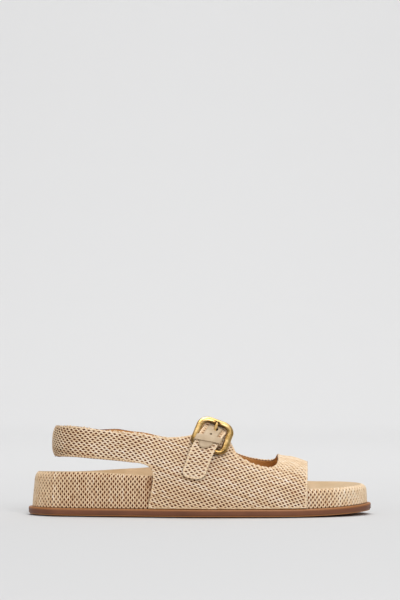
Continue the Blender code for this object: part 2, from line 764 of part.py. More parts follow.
def main():
    for old in list(bpy.data.objects):
        bpy.data.objects.remove(old)

    rubber = principled("caramel rubber", (0.28, 0.12, 0.055), 0.55)
    raffia = principled("raffia net", (0.68, 0.50, 0.31), 0.75)
    suede = principled("tan suede", (0.55, 0.41, 0.26), 0.95)
    leather = principled("beige leather", (0.60, 0.46, 0.31), 0.6)
    brass = principled("satin brass", (0.70, 0.42, 0.10), 0.3, 1.0)

    ring = SoleRing(HALF_STATIONS)
    build_outsole(ring, rubber)
    build_midsole(ring, raffia)
    build_insole(ring, suede)

    last = Last(SoleRing(6 * HALF_STATIONS))
    build_upper(last, raffia)

    path = StrapPath(last)
    strap_outline = rounded_end_strip(STRAP_TIP, STRAP_END, STRAP_WIDTH, STRAP_TIP_ROUND)
    strap = build_strip("instep_strap", path, strap_outline, path.rise, STRAP_THICK, raffia)
    patch_outline = rounded_end_strip(PATCH_TIP, PATCH_END, PATCH_WIDTH, PATCH_TIP_ROUND)

    def on_strap(along):
        return path.rise(along) + STRAP_THICK + GAP

    patch = build_strip("strap_patch", path, patch_outline, on_strap, PATCH_THICK, leather)
    prong_hole = hole_cutter("prong hole", path, PRONG_HOLE_AT, PRONG_HOLE)
    free_hole = hole_cutter("free hole", path, FREE_HOLE_AT, FREE_HOLE)
    for layer in (strap, patch):
        cut(layer, prong_hole)
        cut(layer, free_hole)
    build_keeper(path, leather)
    seat = BuckleSeat(path)
    build_buckle(seat, brass)
    build_prong(seat, brass)


main()
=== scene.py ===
# %% [markdown]
# This lesson dresses a raffia sandal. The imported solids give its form, and every cell below turns
# one of them into the piece a shoemaker would recognise: a rubber sole, a footbed wrapped in
# raffia, a suede sock, an upper of open raffia net over brown cloth, and a strap with a brass
# buckle. We first load the solids, because every later piece is placed by them and not by eye.

import math
from collections import namedtuple

import bmesh
import bpy
import numpy as np
from mathutils import Matrix, Vector


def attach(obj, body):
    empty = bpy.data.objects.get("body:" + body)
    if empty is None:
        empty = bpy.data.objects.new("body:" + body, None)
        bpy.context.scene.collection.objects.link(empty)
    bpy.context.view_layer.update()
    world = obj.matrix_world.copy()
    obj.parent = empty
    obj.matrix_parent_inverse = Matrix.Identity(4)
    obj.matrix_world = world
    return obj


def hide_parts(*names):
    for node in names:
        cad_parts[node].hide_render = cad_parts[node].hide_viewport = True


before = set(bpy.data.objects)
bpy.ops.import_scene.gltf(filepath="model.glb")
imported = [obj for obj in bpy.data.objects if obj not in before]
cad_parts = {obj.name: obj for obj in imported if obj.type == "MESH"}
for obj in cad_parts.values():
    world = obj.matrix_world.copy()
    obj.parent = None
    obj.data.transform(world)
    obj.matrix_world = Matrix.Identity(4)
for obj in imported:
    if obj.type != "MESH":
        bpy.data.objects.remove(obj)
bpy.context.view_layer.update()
MM = 0.001
print("solids:", sorted(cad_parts))

# %% [markdown]
# The photograph was taken from the outer side with a long lens, about two metres away and a little
# above the sole. A long lens keeps the toe and the heel at the same scale, so the camera gets one
# too. Its frame is 400 by 600 pixels, so the 36 mm sensor lies along the 600 pixel side. The view
# is shown without a film curve, so a colour read off the photograph can go straight into a
# material. A small helper puts a new object into the scene, and later cells use it too.

# %% Camera at the photograph's angle
IMAGE_TALL = 600
FOCAL_PIXELS = 2741
HORIZON_ROW = 331.4
CAMERA_AWAY = 2100 * MM
CAMERA_HEIGHT = 140 * MM
SENSOR_MM = 36.0
SEES_TO = 30.0


def put_in_scene(name, data):
    """A new object of the scene that shows the given data."""
    made = bpy.data.objects.new(name, data)
    bpy.context.scene.collection.objects.link(made)
    return made


camera = put_in_scene("camera", bpy.data.cameras.new("camera"))
camera.data.sensor_width = SENSOR_MM
camera.data.lens = FOCAL_PIXELS * SENSOR_MM / IMAGE_TALL
camera.data.clip_end = SEES_TO
pitch = math.atan((HORIZON_ROW - IMAGE_TALL / 2) / FOCAL_PIXELS)
camera.location = (0.0, -CAMERA_AWAY, CAMERA_HEIGHT)
camera.rotation_euler = (math.pi / 2 + pitch, 0.0, 0.0)
bpy.context.scene.camera = camera
bpy.context.scene.view_settings.view_transform = "Standard"
print("lens", round(camera.data.lens, 1), "mm, degrees up:", round(math.degrees(pitch), 2))

# %% [markdown]
# A material is a small graph of nodes. Three helpers keep the graphs short: one turns a
# colour from a paint chart (sRGB hex) into the linear numbers that a shader expects, one adds a
# node with its settings and its inputs, whether those are plain values or links from other nodes,
# and one starts a new graph with the place on the piece (Object coordinates) that every pattern
# below is drawn by.


# %% Helpers for materials
def linear(hex_colour):
    """Linear colour of an sRGB hex value."""
    parts = [int(hex_colour[i : i + 2], 16) / 255 for i in (1, 3, 5)]
    bent = [p / 12.92 if p <= 0.04045 else ((p + 0.055) / 1.055) ** 2.4 for p in parts]
    return (*bent, 1.0)


def add_node(tree, kind, inputs=None, stops=(), **settings):
    """A node with its settings, its inputs set or linked, and the stops of its ramp, if any."""
    node = tree.nodes.new(kind)
    for key, value in settings.items():
        setattr(node, key, value)
    for i, (place, colour) in enumerate(stops):
        elements = node.color_ramp.elements
        element = elements[i] if i < len(elements) else elements.new(place)
        element.position = place
        element.color = linear(colour)
    for key, value in (inputs or {}).items():
        if isinstance(value, bpy.types.NodeSocket):
            tree.links.new(value, node.inputs[key])
        else:
            node.inputs[key].default_value = value
    return node


def new_material(name, **sockets):
    """A material with its tree, its shader and the place on the piece that patterns read."""
    material = bpy.data.materials.new(name)
    material.use_nodes = True
    shader = material.node_tree.nodes["Principled BSDF"]
    for key, value in sockets.items():
        shader.inputs[key.replace("_", " ")].default_value = value
    place = add_node(material.node_tree, "ShaderNodeTexCoord").outputs["Object"]
    return material, material.node_tree, shader, place


print("helpers ready, cream raffia is", [round(c, 3) for c in linear("#E3CFAE")[:3]])

# %% [markdown]
# The studio is a sheet of pale card that runs along the floor and bends up behind the shoe, so no
# horizon shows. It could be two planes, but a bend without a crease needs one sheet: a grid whose
# far half is wrapped round a quarter circle.

# %% Floor and backdrop in one sheet
CARD_FRONT = -4.0
CARD_BEND_AT = 1.6
CARD_BEND = 0.9
CARD_TALL = 3.6
CARD_HALF = 4.0
CARD_SEGMENTS = 96
CARD_TINT_PER_M = 0.4

bm = bmesh.new()
bmesh.ops.create_grid(bm, x_segments=2, y_segments=CARD_SEGMENTS, size=0.5)
quarter = CARD_BEND * math.pi / 2
length = CARD_BEND_AT - CARD_FRONT + quarter + CARD_TALL
for vert in bm.verts:
    along = (vert.co.y + 0.5) * length - (CARD_BEND_AT - CARD_FRONT)
    turn = min(max(along, 0.0) / CARD_BEND, math.pi / 2)
    back = CARD_BEND_AT + min(along, 0.0) + CARD_BEND * math.sin(turn)
    up = CARD_BEND * (1 - math.cos(turn)) + max(along - quarter, 0.0)
    vert.co = (vert.co.x * 2 * CARD_HALF, back, up)
card_mesh = bpy.data.meshes.new("studio_card")
bm.to_mesh(card_mesh)
bm.free()
card_mesh.shade_smooth()
card = put_in_scene("studio_card", card_mesh)
# Matt card shows no gloss. Its tone is painted along its length, a painted shade on the floor
# and painted light where it turns up, for how the card is lit.
card_paper, tree, shader, place = new_material(
    "matt pale card", Roughness=0.95, Specular_IOR_Level=0.1
)
back = add_node(tree, "ShaderNodeSeparateXYZ", {"Vector": place}).outputs["Y"]
share = add_node(tree, "ShaderNodeMath", {0: back, 1: CARD_TINT_PER_M}, operation="MULTIPLY")
tint = add_node(
    tree,
    "ShaderNodeValToRGB",
    {"Fac": share.outputs["Value"]},
    stops=((0.0, "#CDCDCD"), (0.7, "#E4E4E4"), (1.0, "#DEDEDE")),
)
tree.links.new(tint.outputs["Color"], shader.inputs["Base Color"])
card_mesh.materials.append(card_paper)
print("card is", round(length, 2), "m long")

# %% [markdown]
# Product light is soft: a large key from the front and a little from the right, a larger one
# overhead, a weak one from the left, and grey light all round from the world. A fourth lights only
# the backdrop. Large lights give the faint, wide shadow of the photograph, and only the gap under
# the sole goes dark.


# %% Soft studio light
def softbox(name, place, size, watts, target=(0.0, 0.0, 0.0)):
    """A square area light that looks at the shoe, or at another target."""
    lamp = bpy.data.lights.new(name, "AREA")
    lamp.size = size
    lamp.energy = watts
    box = put_in_scene(name, lamp)
    box.location = place
    box.rotation_euler = (Vector(place) - Vector(target)).to_track_quat("Z", "Y").to_euler()


softbox("key light", (0.7, -2.1, 1.7), 1.4, 45.0)
softbox("top light", (0.2, 0.4, 2.2), 1.5, 13.0)
softbox("fill light", (-1.7, -1.9, 1.0), 1.6, 9.0)
softbox("backdrop light", (0.0, 0.4, 2.6), 1.2, 32.0, target=(0.0, 2.5, 0.5))
world = bpy.data.worlds.new("studio")
bpy.context.scene.world = world
world.use_nodes = True
sky = world.node_tree.nodes["Background"]
sky.inputs["Color"].default_value = linear("#F2F2F4")
sky.inputs["Strength"].default_value = 0.33

# %% [markdown]
# Most of the shoe is made of sheets that follow a measured form. One helper makes them all: it
# starts from a flat grid, moves its vertices onto rows of points and merges the rows or columns
# that meet, so a strip becomes a ring and a ring becomes a tube. The points come from small tables
# read through a smooth curve. Smaller helpers measure along a line of points, and paint a number on
# the vertices of a piece for a material to read.


# %% Helpers for shaped sheets
MEET = 0.002


def column(rows, name):
    """One named column of a table."""
    return np.array([getattr(row, name) for row in rows], float)


def smooth(knots, values, at):
    """A smooth curve through the rows of a table, read at any place."""
    order = np.argsort(knots)
    knots = np.asarray(knots, float)[order]
    values = np.asarray(values, float)[order]
    at = np.clip(np.asarray(at, float), knots[0], knots[-1])
    slope = np.gradient(values, knots)
    i = np.clip(np.searchsorted(knots, at) - 1, 0, len(knots) - 2)
    width = knots[i + 1] - knots[i]
    f = (at - knots[i]) / width
    start = (1 + 2 * f) * (1 - f) ** 2 * values[i] + f * (1 - f) ** 2 * width * slope[i]
    end = f * f * (3 - 2 * f) * values[i + 1] - f * f * (1 - f) * width * slope[i + 1]
    return start + end


def ease(f):
    """Smooth step from 0 to 1."""
    f = np.clip(f, 0.0, 1.0)
    return f * f * (3 - 2 * f)


def unit(vectors):
    """Directions made one long."""
    return vectors / np.linalg.norm(vectors, axis=-1, keepdims=True)


def heading(points, closed):
    """Direction along a line of points, or round a ring of them."""
    if closed:
        return np.roll(points, -1, axis=0) - np.roll(points, 1, axis=0)
    return np.gradient(points, axis=0)


def walked(points):
    """Distance from the first point of a line to each of its points."""
    steps = np.linalg.norm(np.diff(points, axis=0), axis=-1)
    return np.concatenate([np.zeros_like(steps[:1]), np.cumsum(steps, axis=0)])


def shaped_sheet(name, points, *materials):
    """A grid moved onto rows of points, in millimetres, and closed where its edges meet."""
    rows, columns = points.shape[:2]
    bm = bmesh.new()
    bmesh.ops.create_grid(bm, x_segments=columns - 1, y_segments=rows - 1, size=0.5)
    order = sorted(bm.verts, key=lambda v: (round(v.co.y * (rows - 1), 2), v.co.x))
    for vert, point in zip(order, points.reshape(-1, 3)):
        vert.co = Vector(point) * MM
    bmesh.ops.remove_doubles(bm, verts=bm.verts, dist=MEET * MM)
    bmesh.ops.recalc_face_normals(bm, faces=bm.faces)
    return finished(name, bm, *materials)


def finished(name, bm, *materials):
    """The bmesh as a piece of the shoe that rides on its body."""
    mesh = bpy.data.meshes.new(name)
    bm.to_mesh(mesh)
    bm.free()
    mesh.shade_smooth()
    piece = put_in_scene(name, mesh)
    for material in materials:
        mesh.materials.append(material)
    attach(piece, "root")
    return piece


def spots(piece):
    """Places of a piece's vertices, in millimetres."""
    return np.array([vert.co for vert in piece.data.vertices]) / MM


def paint(piece, name, values):
    """A number on every vertex, which a material can read by its name."""
    piece.data.attributes.new(name, "FLOAT", "POINT").data.foreach_set("value", values)


print("sheet helpers ready")

# %% [markdown]
# The outline of the sole is the driving curve of the whole shoe. A table gives the half widths of
# both sides at a few places, with the height of the footbed's rim and the depth of its cup.
# Stations are spread by an angle, which puts more of them where the heel and the toe turn tightly.

# %% The outline of the sole
GAP = 0.3
SOLE_LENGTH = 262.0
OUTSOLE_THICK = 6.5
LIP = 2.7
TOE_SPRING, TOE_SPRING_FROM, TOE_SPRING_POWER = 2.6, 66.0, 2.2
SPINE_HEEL, SPINE_TOE = 0.37, 0.35
RING_HALF = 150

SoleRow = namedtuple("SoleRow", "x lateral medial rim_lateral rim_medial cup")
SOLE = [
    SoleRow(-131, -0.5, -0.5, 33.2, 33.2, 6.8),
    SoleRow(-126, -14.0, 13.0, 33.5, 32.4, 6.8),
    SoleRow(-113, -25.0, 24.0, 33.8, 31.9, 6.9),
    SoleRow(-88, -31.8, 30.6, 33.8, 32.0, 7.0),
    SoleRow(-50, -38.6, 29.6, 31.9, 34.2, 6.6),
    SoleRow(-10, -45.3, 29.6, 29.6, 36.0, 6.4),
    SoleRow(30, -46.5, 38.6, 25.2, 29.0, 5.2),
    SoleRow(62, -44.4, 46.7, 22.2, 24.2, 4.2),
    SoleRow(90, -37.9, 44.4, 21.4, 23.4, 4.0),
    SoleRow(112, -27.0, 35.6, 22.0, 23.6, 4.0),
    SoleRow(126, -11.5, 20.5, 22.6, 23.6, 3.8),
    SoleRow(131, 5.0, 5.0, 23.0, 23.0, 3.8),
]
print("sole table has", len(SOLE), "rows")

# %% [markdown]
# The table becomes a closed ring of points. A ring can be moved inwards, as a maker marks a margin
# inside an edge, or drawn in to a line down the middle. Filling an outline with one face would also
# close it, but a face with hundreds of corners shades badly, so floors are closed by drawn-in
# rings.


# %% Rings of the outline
def lift(x):
    """Toe spring of the sole."""
    past = np.asarray(x, float) - TOE_SPRING_FROM
    share = np.clip(past / (SOLE_LENGTH / 2 - TOE_SPRING_FROM), 0, 1)
    return TOE_SPRING * share**TOE_SPRING_POWER


class SoleRing:
    """The outline of the outsole as a closed ring, lateral side first, with its table's values."""

    def __init__(self, half):
        there = np.linspace(0, math.pi, half + 1)
        turn = np.concatenate([there, there[::-1][1:-1]])
        lateral = np.arange(2 * half) <= half
        rows = np.arccos(np.clip(-column(SOLE, "x") / (SOLE_LENGTH / 2), -1, 1))

        def side(first, second):
            one = smooth(rows, column(SOLE, first), turn)
            two = smooth(rows, column(SOLE, second), turn)
            return np.where(lateral, one, two)

        self.half = half
        self.xy = np.column_stack([-SOLE_LENGTH / 2 * np.cos(turn), side("lateral", "medial")])
        self.rim = side("rim_lateral", "rim_medial")
        self.cup = smooth(rows, column(SOLE, "cup"), turn)

    def inset(self, distance):
        """The ring moved inwards by a distance."""
        tangent = unit(heading(self.xy, True))
        inward = np.column_stack([-tangent[:, 1], tangent[:, 0]])
        return self.xy + inward * np.asarray(distance, float).reshape(-1, 1)

    def towards_spine(self, xy, share):
        """The ring drawn in to a line down the middle of the sole."""
        heel, toe = -SOLE_LENGTH * SPINE_HEEL, SOLE_LENGTH * SPINE_TOE
        partner = np.roll(xy[::-1], 1, axis=0)
        middle = (xy + partner) / 2
        middle[:, 0] = np.clip(middle[:, 0], heel, toe)
        inside = (self.xy[:, 0] > heel) & (self.xy[:, 0] < toe)
        for end, outside in ((heel, self.xy[:, 0] <= heel), (toe, self.xy[:, 0] >= toe)):
            nearest = np.argmin(np.where(inside, abs(middle[:, 0] - end), np.inf))
            middle[outside, 1] = middle[nearest, 1]
        return xy + (middle - xy) * share


def with_height(xy, z):
    """Points of a ring at a height, or at one height each."""
    return np.column_stack([xy, np.broadcast_to(z, len(xy))])


def closed_rings(rings):
    """Rings as rows of points, each with its first point repeated so that the sheet closes."""
    points = np.stack(rings)
    return np.concatenate([points, points[:, :1]], axis=1)


ring = SoleRing(RING_HALF)
print("sole is", np.ptp(ring.xy, axis=0).round(1), "mm, ring of", len(ring.xy), "points")

# %% [markdown]
# The outsole is moulded rubber: a thin foot, a step, an upright side and a softly broken edge along
# the lip. It could be an extruded outline with bevels, but the toe springs up off the floor, so it
# is a sheet through rings of the outline: each ring is the outline moved inwards a little and set
# at its height. The rim stands just off the floor, which gives the thin dark line under the shoe.

# %% Moulded caramel rubber for the outsole
# Moulded rubber scatters light in its skin, so its flats are dull. A painted highlight along the
# lip and painted light from the floor along the foot make it paler there, and a number on the
# vertices says where. The grit is drawn coarser than life so that it shows.
rubber, tree, shader, place = new_material("moulded caramel rubber", Roughness=0.5)
CLOUD_MM, GRIT_MM = 22.0, 0.7
cloud = add_node(
    tree, "ShaderNodeTexNoise", {"Vector": place, "Scale": 1 / (CLOUD_MM * MM), "Detail": 3.0}
)
tint = add_node(
    tree,
    "ShaderNodeValToRGB",
    {"Fac": cloud.outputs["Fac"]},
    stops=((0.3, "#66391F"), (0.7, "#784629")),
)
# The edge number carries the painted highlight and the painted floor light.
edge = add_node(tree, "ShaderNodeAttribute", attribute_name="edge")
painted_edge_light = add_node(
    tree,
    "ShaderNodeMix",
    {"Factor": edge.outputs["Fac"], 6: tint.outputs["Color"], 7: linear("#A06839")},
    data_type="RGBA",
)
tree.links.new(painted_edge_light.outputs[2], shader.inputs["Base Color"])
grit = add_node(
    tree, "ShaderNodeTexNoise", {"Vector": place, "Scale": 1 / (GRIT_MM * MM), "Detail": 2.0}
)
skin = add_node(
    tree, "ShaderNodeBump", {"Height": grit.outputs["Fac"], "Strength": 0.12, "Distance": 0.15 * MM}
)
tree.links.new(skin.outputs["Normal"], shader.inputs["Normal"])
print("rubber is made of", len(tree.nodes), "nodes")

# %% [markdown]
# The side of the outsole is a short table of steps: how far each ring lies inside the outline, and
# how high. A bevel would give only one round, while the table gives the foot, the step and the lip.
# Rings drawn in to the middle close it below and above.

# %% Outsole from rings
SideRow = namedtuple("SideRow", "inset height")
OUTSOLE_SIDE = [
    SideRow(16.0, 0.0),
    SideRow(15.2, 0.65),
    SideRow(6.0, 0.8),
    SideRow(1.2, 0.85),
    SideRow(0.75, 0.98),
    SideRow(0.6, 1.2),
    SideRow(0.6, 1.55),
    SideRow(0.45, 1.85),
    SideRow(0.1, 2.1),
    SideRow(0.0, 2.5),
    SideRow(0.0, 4.7),
    SideRow(0.0, 5.4),
    SideRow(0.12, 5.95),
    SideRow(0.4, 6.32),
    SideRow(0.85, 6.5),
    SideRow(4.0, 6.5),
]
SOLE_SHARES = (0.35, 0.7, 1.0)
LIP_HIGHLIGHT_FROM, LIP_HIGHLIGHT_FADE = 4.9, 0.9
FOOT_LIGHT_TO, FOOT_LIGHT_FADE = 1.9, 0.4
rings = []
for row in OUTSOLE_SIDE:
    xy = ring.inset(row.inset)
    rings.append(with_height(xy, row.height + lift(xy[:, 0])))
for share in SOLE_SHARES:
    under = ring.towards_spine(ring.inset(OUTSOLE_SIDE[0].inset), share)
    rings.insert(0, with_height(under, lift(under[:, 0])))
    over = ring.towards_spine(ring.inset(OUTSOLE_SIDE[-1].inset), share)
    rings.append(with_height(over, OUTSOLE_THICK + lift(over[:, 0])))
outsole = shaped_sheet("rubber_outsole", closed_rings(rings), rubber)
# Painted highlight along the lip and painted light from the floor along the foot.
at = spots(outsole)
high = at[:, 2] - lift(at[:, 0])
lip_highlight = ease((high - LIP_HIGHLIGHT_FROM) / LIP_HIGHLIGHT_FADE)
foot_light = ease((FOOT_LIGHT_TO - high) / FOOT_LIGHT_FADE)
paint(outsole, "edge", lip_highlight + foot_light)
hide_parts("outsole")
print("outsole has", len(outsole.data.polygons), "faces")

# %% [markdown]
# The footbed is a block whose side leans in, rolls over at the rim and drops into the cup that
# holds the sock. On the real one the block is covered with brown cloth, and raffia is stretched
# over the cloth. So the block is made a little thinner than the solid, and the net of the next
# cells takes up the difference.


# %% Rings of the footbed
RIM_LEAN_HEEL, RIM_LEAN_TOE = 1.6, 0.5
RIM_ROLL_WIDTH, RIM_ROLL_SHARE, RIM_BULGE = 4.0, 0.34, 0.2
SOCK_SUNK, SOCK_THICK, SOCK_INSET = 1.0, 2.0, 6.6
BED_FALL, BED_FLAT_AT = 2.3, 0.72
NET_DEPTH = 0.85


def rim_rings(ring, depth, side_steps, roll_steps):
    """Rings up the side of the footbed and over its rim, sunk below the surface by a depth."""
    floor = OUTSOLE_THICK + GAP + lift(ring.xy[:, 0])
    roll_tall = RIM_ROLL_SHARE * (ring.rim - floor)
    shoulder = ring.rim - roll_tall
    lean = RIM_LEAN_HEEL + (RIM_LEAN_TOE - RIM_LEAN_HEEL) * (ring.xy[:, 0] / SOLE_LENGTH + 0.5)
    rings = []
    for up in np.linspace(0, 1, side_steps, endpoint=False):
        inset = LIP + lean * ((1 - RIM_BULGE) * up + RIM_BULGE * up * up) + depth
        rings.append(with_height(ring.inset(inset), floor + (shoulder - floor) * up))
    for angle in np.linspace(0, math.pi / 2, roll_steps + 1):
        inset = LIP + lean + RIM_ROLL_WIDTH * (1 - math.cos(angle)) + depth * math.cos(angle)
        height = shoulder + (roll_tall - depth) * math.sin(angle)
        rings.append(with_height(ring.inset(inset), height))
    return rings


def bed_ring(ring, inset, share, rise):
    """One ring of the cupped bed, drawn in from its edge by a share."""
    xy = ring.towards_spine(ring.inset(inset), share)
    inwards = min(share / BED_FLAT_AT, 1.0)
    fall = 1 - (1 - inwards) ** BED_FALL
    rim = ring.rim + (np.roll(ring.rim[::-1], 1) - ring.rim) * inwards / 2
    return with_height(xy, rim - SOCK_THICK - SOCK_SUNK - ring.cup * fall + rise)


print("rim of the footbed rolls over", RIM_ROLL_WIDTH, "mm")

# %% [markdown]
# The cloth on the block is a plain weave, dyed brown. It shows only through the holes of the
# raffia, so a bump for its threads and a slow change of tone are enough, and no thread is modelled.

# %% Brown cloth on the footbed block
# Brown backing cloth is matt and nearly even, so it reads as shade between the strands. Its threads
# are drawn coarser than life so that they show.
cloth, tree, shader, place = new_material(
    "brown woven backing cloth", Roughness=0.9, Specular_IOR_Level=0.2
)
THREAD_MM, DYE_MM = 0.5, 9.0
thread = add_node(
    tree, "ShaderNodeTexNoise", {"Vector": place, "Scale": 1 / (THREAD_MM * MM), "Detail": 2.0}
)
dye = add_node(
    tree, "ShaderNodeTexNoise", {"Vector": place, "Scale": 1 / (DYE_MM * MM), "Detail": 2.0}
)
tint = add_node(
    tree,
    "ShaderNodeValToRGB",
    {"Fac": dye.outputs["Fac"]},
    stops=((0.3, "#532610"), (0.7, "#6C371A")),
)
tree.links.new(tint.outputs["Color"], shader.inputs["Base Color"])
weave = add_node(
    tree, "ShaderNodeBump", {"Height": thread.outputs["Fac"], "Strength": 0.4, "Distance": 0.2 * MM}
)
tree.links.new(weave.outputs["Normal"], shader.inputs["Normal"])

BLOCK_SIDE_STEPS, BLOCK_ROLL_STEPS = 5, 8
BLOCK_UNDER, BLOCK_BED = (0.4, 1.0), (0.0, 0.14, 0.3, 0.5, 0.72, 1.0)
block = rim_rings(ring, NET_DEPTH, BLOCK_SIDE_STEPS, BLOCK_ROLL_STEPS)
for share in BLOCK_UNDER:
    under = ring.towards_spine(ring.inset(LIP + NET_DEPTH), share)
    block.insert(0, with_height(under, OUTSOLE_THICK + GAP + lift(under[:, 0])))
for share in BLOCK_BED:
    block.append(bed_ring(ring, LIP + SOCK_INSET, share, 0.0))
footbed = shaped_sheet("footbed_block", closed_rings(block), cloth)
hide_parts("midsole")
print("footbed block has", len(footbed.data.polygons), "faces")

# %% [markdown]
# The sock is a sheet of tan suede glued into the cup. Suede is leather with its short fibres
# brushed up, so it has no gloss, a little sheen at grazing angles and a mottled tone. It is a thin
# closed sheet between two sets of the same rings, with a soft turned edge.

# %% Suede sock in the footbed
# Brushed suede looks dusty: a fine nap, sheen at the edges and slow changes of tone. The nap is
# drawn coarser than life so that it shows.
suede, tree, shader, place = new_material(
    "brushed tan suede",
    Roughness=0.95,
    Specular_IOR_Level=0.15,
    Sheen_Weight=0.25,
    Sheen_Roughness=0.6,
)
NAP_MM, MOTTLE_MM = 0.45, 13.0
nap = add_node(
    tree, "ShaderNodeTexNoise", {"Vector": place, "Scale": 1 / (NAP_MM * MM), "Detail": 3.0}
)
mottle = add_node(
    tree, "ShaderNodeTexNoise", {"Vector": place, "Scale": 1 / (MOTTLE_MM * MM), "Detail": 5.0}
)
tint = add_node(
    tree,
    "ShaderNodeValToRGB",
    {"Fac": mottle.outputs["Fac"]},
    stops=((0.3, "#C0A37B"), (0.7, "#D0B48E")),
)
tree.links.new(tint.outputs["Color"], shader.inputs["Base Color"])
pile = add_node(
    tree, "ShaderNodeBump", {"Height": nap.outputs["Fac"], "Strength": 0.5, "Distance": 0.2 * MM}
)
tree.links.new(pile.outputs["Normal"], shader.inputs["Normal"])

SOCK_EDGE = LIP + SOCK_INSET + 2 * GAP
SOCK_SHARES = (0.0, 0.06, 0.14, 0.22, 0.3, 0.4, 0.5, 0.61, 0.72, 0.86, 1.0)
SOCK_TURN = 0.9
SOCK_LIP = [
    SideRow(9.4, -1.2),
    SideRow(7.3, -0.75),
    SideRow(7.1, -0.4),
    SideRow(7.4, -0.05),
    SideRow(8.3, 0.05),
    SideRow(9.4, -0.25),
]
sock_rings = [bed_ring(ring, SOCK_EDGE, share, GAP) for share in SOCK_SHARES[::-1]]
sock_rings += [with_height(ring.inset(row.inset), ring.rim + row.height) for row in SOCK_LIP]
sock_top, sock_rise = SOCK_EDGE + SOCK_TURN, GAP + SOCK_THICK
sock_rings += [bed_ring(ring, sock_top, share, sock_rise) for share in SOCK_SHARES]
sock = shaped_sheet("suede_sock", closed_rings(sock_rings), suede)
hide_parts("insole")
print("sock has", len(sock.data.polygons), "faces")

# %% [markdown]
# Raffia is palm leaf torn into strips. Here narrow strips run side by side, and each is drawn to
# its left neighbour and to its right one in turn, so the strips wave and leave lens-shaped holes
# with the brown cloth behind them. A texture could draw that, but at this size the eye sees the
# relief, so every strip is a small ribbon of its own: a grid three faces wide, moved onto its wave.
# A number on its vertices carries its tone, which drifts along the strip as it does on a leaf, and
# a painted shade darkens both its edges and the stretches where it dips under a neighbour.


# %% Raffia strips as small ribbons
STRIP_SPACING = 1.65
STRIP_WAVE = 4.0
STRIP_WIDE = 1.12
STRIP_SWAY = 0.43
STRIP_STEP = 0.5
STRIP_ROLL = -0.05
STRIP_SINK = 0.05
TONE, TONE_SPREAD, TONE_LOW, TONE_HIGH = 0.41, 0.06, 0.26, 0.54
# The last number here is a painted shade where a strip dips under its neighbour.
TONE_DRIFT, DRIFT_STEPS, DIP_SHADE = 0.07, 4, -0.05
ProfileRow = namedtuple("ProfileRow", "across up dark")
# The last column is a painted shade on the flanks of a strip, where it rounds away from the light.
STRIP_PROFILE = [
    ProfileRow(-0.5, 0.0, -0.24),
    ProfileRow(-0.3, 0.86, 0.0),
    ProfileRow(0.3, 0.86, 0.0),
    ProfileRow(0.5, 0.0, -0.24),
]
chance = np.random.default_rng(11)

# Raffia is dry and fibrous: soft gloss along the leaf, fine streaks, and every strip a different
# cream. The streaks are drawn coarser than life so that they show.
raffia, tree, shader, place = new_material(
    "dried raffia strip", Roughness=0.6, Specular_IOR_Level=0.35
)
STREAK_MM, STREAK_SHARE = 0.6, 0.35
tone = add_node(tree, "ShaderNodeAttribute", attribute_name="tone")
streak = add_node(
    tree, "ShaderNodeTexNoise", {"Vector": place, "Scale": 1 / (STREAK_MM * MM), "Detail": 2.0}
)
blend = add_node(
    tree,
    "ShaderNodeMath",
    {0: streak.outputs["Fac"], 1: STREAK_SHARE, 2: tone.outputs["Fac"]},
    operation="MULTIPLY_ADD",
)
tint = add_node(
    tree,
    "ShaderNodeValToRGB",
    {"Fac": blend.outputs["Value"]},
    stops=((0.0, "#7C4729"), (0.2, "#C6A078"), (0.55, "#E7CCA8"), (1.0, "#FBF1E2")),
)
tree.links.new(tint.outputs["Color"], shader.inputs["Base Color"])
fibre = add_node(
    tree,
    "ShaderNodeBump",
    {"Height": streak.outputs["Fac"], "Strength": 0.25, "Distance": 0.12 * MM},
)
tree.links.new(fibre.outputs["Normal"], shader.inputs["Normal"])
print("raffia is made of", len(tree.nodes), "nodes")

# %% [markdown]
# All ribbons of a net go into one mesh, because a thousand objects would be slow to handle. The
# class below lays one ribbon at a time: a small grid is added, its vertices are moved to their
# places, and each gets its tone.


# %% Ribbons gathered in one mesh
class Strips:
    """Many ribbons gathered in one mesh."""

    def __init__(self):
        self.bm = bmesh.new()
        self.tone = self.bm.verts.layers.float.new("tone")

    def lay(self, centres, outs, lift, wide=STRIP_WIDE, high=1.0, shade=0.0):
        """One ribbon along a row of points, each with its way out of the surface and its lift."""
        centres = centres + outs * (STRIP_ROLL * lift)[:, None]
        side = unit(np.cross(heading(centres, False), outs))
        wide, high = np.reshape(wide, (-1, 1)), np.reshape(high, (-1, 1))
        rows = [centres + side * row.across * wide + outs * row.up * high for row in STRIP_PROFILE]
        points = np.stack(rows, axis=1).reshape(-1, 3) * MM
        cols, steps = len(STRIP_PROFILE) - 1, len(centres) - 1
        made = bmesh.ops.create_grid(self.bm, x_segments=cols, y_segments=steps, size=0.5)
        knots = np.arange(0, len(centres) + DRIFT_STEPS, DRIFT_STEPS)
        drift = np.interp(np.arange(len(centres)), knots, chance.normal(0, TONE_DRIFT, len(knots)))
        own = float(np.clip(chance.normal(TONE, TONE_SPREAD), TONE_LOW, TONE_HIGH))
        # Painted shade on both flanks and where the strip dips under its neighbour, with the shade
        # it is given.
        tone = own + drift + DIP_SHADE * lift + shade
        tones = tone[:, None] + column(STRIP_PROFILE, "dark")
        for vert, point, number in zip(made["verts"], points, tones.ravel()):
            vert.co = point
            vert[self.tone] = number

    def finish(self, name):
        """The gathered ribbons as a piece in raffia."""
        piece = finished(name, self.bm, raffia)
        print(name, "has", 2 * len(piece.data.polygons), "triangles")


print("strips are", STRIP_WIDE, "mm wide and", STRIP_SPACING, "mm apart")
